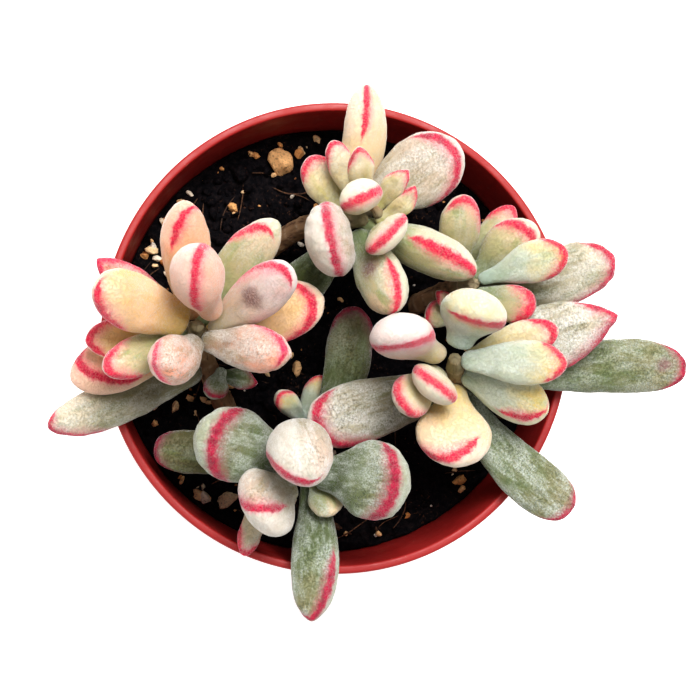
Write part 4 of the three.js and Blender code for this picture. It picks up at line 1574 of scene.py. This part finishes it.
    def _places(self, count: int, chance: random.Random) -> list[tuple[float, float]]:
        """List places on the soil, clear of the pot's wall.

        Args:
            count: how many.
            chance: the seeded chance.

        Returns:
            The places in mm.
        """
        reach = self.pot.inside(self.level) - self.WALL_GAP
        polar = [(reach * math.sqrt(chance.random()), chance.uniform(0, 2 * math.pi)) for _ in range(count)]
        return [(r * math.cos(a), r * math.sin(a)) for r, a in polar]

    def _strew(self, count: int, chance: random.Random, sizes: tuple, narrow: tuple, tints: tuple) -> list:
        """Draw many grains, most of them small.

        Args:
            count: how many.
            chance: the seeded chance.
            sizes: the least and the greatest length in mm.
            narrow: the least and the greatest width, as shares of the length.
            tints: the darkest and the lightest tint.

        Returns:
            Each one's place, length, width and tint.
        """
        places = self._places(count, chance)
        longs = [sizes[0] + (sizes[1] - sizes[0]) * chance.random() ** 2.5 for _ in places]
        return [
            (x, y, long, long * chance.uniform(*narrow), chance.uniform(*tints))
            for (x, y), long in zip(places, longs)
        ]

    def _stone(self, name: str, fineness: int, rough: float, seed: int) -> bpy.types.Object:
        """Make a broken grain, about 1 mm in radius, with flat breaks and a rough skin.

        Args:
            name: its name.
            fineness: how often the ball's faces are divided.
            rough: how rough its skin is.
            seed: makes it its own.

        Returns:
            The grain, to be copied.
        """
        chance = random.Random(seed)
        pick()
        bpy.ops.mesh.primitive_ico_sphere_add(subdivisions=fineness, radius=1)
        stone = take_new(name)
        points = co_of(stone)
        for _ in range(self.BREAKS):
            way = np.array([chance.gauss(0, 1) for _ in range(3)])
            way /= np.linalg.norm(way)
            out = points @ way
            points -= np.clip(out - chance.uniform(0.5, 0.8), 0, None)[:, None] * way
        skin = lumps(points, 0.8, seed) + 0.5 * lumps(points, 0.35, seed)
        set_co(stone, points * (1.25 + rough * skin[:, None]))
        return stone

    def _scatter(
        self, name: str, kinds: list, spots: list, chance: random.Random, flat: float = 0.9
    ) -> bpy.types.Object:
        """Lay copies of a few grains on the soil and join them.

        Args:
            name: the new piece's name.
            kinds: the grains to copy.
            spots: each one's place, length, width and tint.
            chance: the seeded chance.
            flat: its height as a share of its width.

        Returns:
            The joined piece, with the attribute "tint".
        """
        copies = []
        for i, (x, y, long, wide, tint) in enumerate(spots):
            piece = copy_of(kinds[i % len(kinds)], f"{name}_{i}")
            lean = chance.uniform(-0.3, 0.3), chance.uniform(-0.3, 0.3)
            tilt = Euler((*lean, chance.uniform(0, 2 * math.pi)))
            size = Matrix.Diagonal((long / 2, wide / 2, wide * flat / 2, 1))
            place = Matrix.Translation((x, y, self.height_at(x, y) + self.SHOWING * wide))
            piece.data.transform(Matrix.Scale(MM, 4) @ place @ tilt.to_matrix().to_4x4() @ size)
            note(piece, "tint", np.full(len(piece.data.vertices), tint))
            copies.append(piece)
        return join(copies, name)

    def _fibres(self, chance: random.Random) -> bpy.types.Object:
        """Lay thin bent root and coir fibres on the soil, and join them.

        Args:
            chance: the seeded chance.

        Returns:
            The joined piece, with the attribute "tint".
        """
        made = []
        for i, (x, y) in enumerate(self._places(self.fibres, chance)):
            turn = chance.uniform(0, 2 * math.pi)
            length = chance.uniform(3, 11)
            bend = chance.uniform(-1.2, 1.2)
            path = []
            for _ in range(self.FIBRE_STEPS + 1):
                path.append((x, y, self.height_at(x, y) + chance.uniform(0.3, 1.0)))
                x += length / self.FIBRE_STEPS * math.cos(turn)
                y += length / self.FIBRE_STEPS * math.sin(turn)
                turn += bend / self.FIBRE_STEPS
            reach = self.pot.inside(self.level) - self.FIBRE_GAP
            if max(math.hypot(px, py) for px, py, _ in path) > reach:
                continue
            thin = chance.uniform(0.12, 0.22)
            fibre = rod(f"fibre_{i}", Centreline(path), lambda share: thin, sides=5, rows=9)
            note(fibre, "tint", np.full(len(fibre.data.vertices), chance.uniform(0.2, 1.0)))
            made.append(fibre)
        return join(made, "dry_fibres")


# Light, floor and camera


@dataclass(frozen=True)
class Studio:
    """The plain white floor, the soft daylight and the camera over the plant."""

    view: View
    key_watts: float = 12.6
    fill_watts: float = 1.0
    ambient: float = 0.4

    def build(self) -> None:
        """Add the floor, the lights and the camera."""
        pick()
        bpy.ops.mesh.primitive_plane_add(size=4, location=(0, 0, 0))
        floor = take_new("floor")
        material, _, shader = new_material("white paper")
        # the paper glows a little, so that it stays white where the pot shades it
        feed(shader, {"Base Color": "fafafa", "Roughness": 0.9})
        feed(shader, {"Emission Color": "ffffff", "Emission Strength": 0.55})
        floor.data.materials.append(material)
        self._lamp("window", (0.1, 0.42, 0.95), 0.5, self.key_watts)
        self._lamp("reflector", (-0.7, -0.5, 0.6), 0.8, self.fill_watts)
        world = bpy.data.worlds.new("plain studio")
        world.use_nodes = True
        feed(world.node_tree.nodes["Background"], {"Color": "ffffff", "Strength": self.ambient})
        scene = bpy.context.scene
        scene.world = world
        scene.view_settings.view_transform = "Standard"
        scene.view_settings.look = "Medium High Contrast"
        bpy.ops.object.camera_add(location=Vector(self.view.eye) * MM)
        camera = bpy.context.object
        camera.rotation_euler = Matrix(self.view.axes()).transposed().to_euler()
        camera.data.lens = self.view.lens
        camera.data.sensor_width = self.view.film
        camera.data.clip_start = 0.01
        camera.data.clip_end = 20
        scene.camera = camera

    @staticmethod
    def _lamp(name: str, place: tuple[float, float, float], size: float, watts: float) -> None:
        """Add one large soft light that faces the plant.

        Args:
            name: the lamp's name.
            place: where it stands, in metres.
            size: the length of its side, in metres.
            watts: its power.
        """
        bpy.ops.object.light_add(type="AREA", location=place)
        lamp = bpy.context.object
        lamp.name = name
        lamp.data.size = size
        lamp.data.energy = watts
        lamp.rotation_euler = Vector(place).to_track_quat("Z", "Y").to_euler()


def main() -> None:
    """Build everything over the frame."""
    logging.basicConfig(level=logging.INFO, format="%(message)s")
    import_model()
    pot, view = Pot(), View()
    dress(pot.build(), MouldedPot().build(), "pot")
    Soil(pot, view).build()
    Plant().build()
    Studio(view).build()


if __name__ == "__main__":
    main()
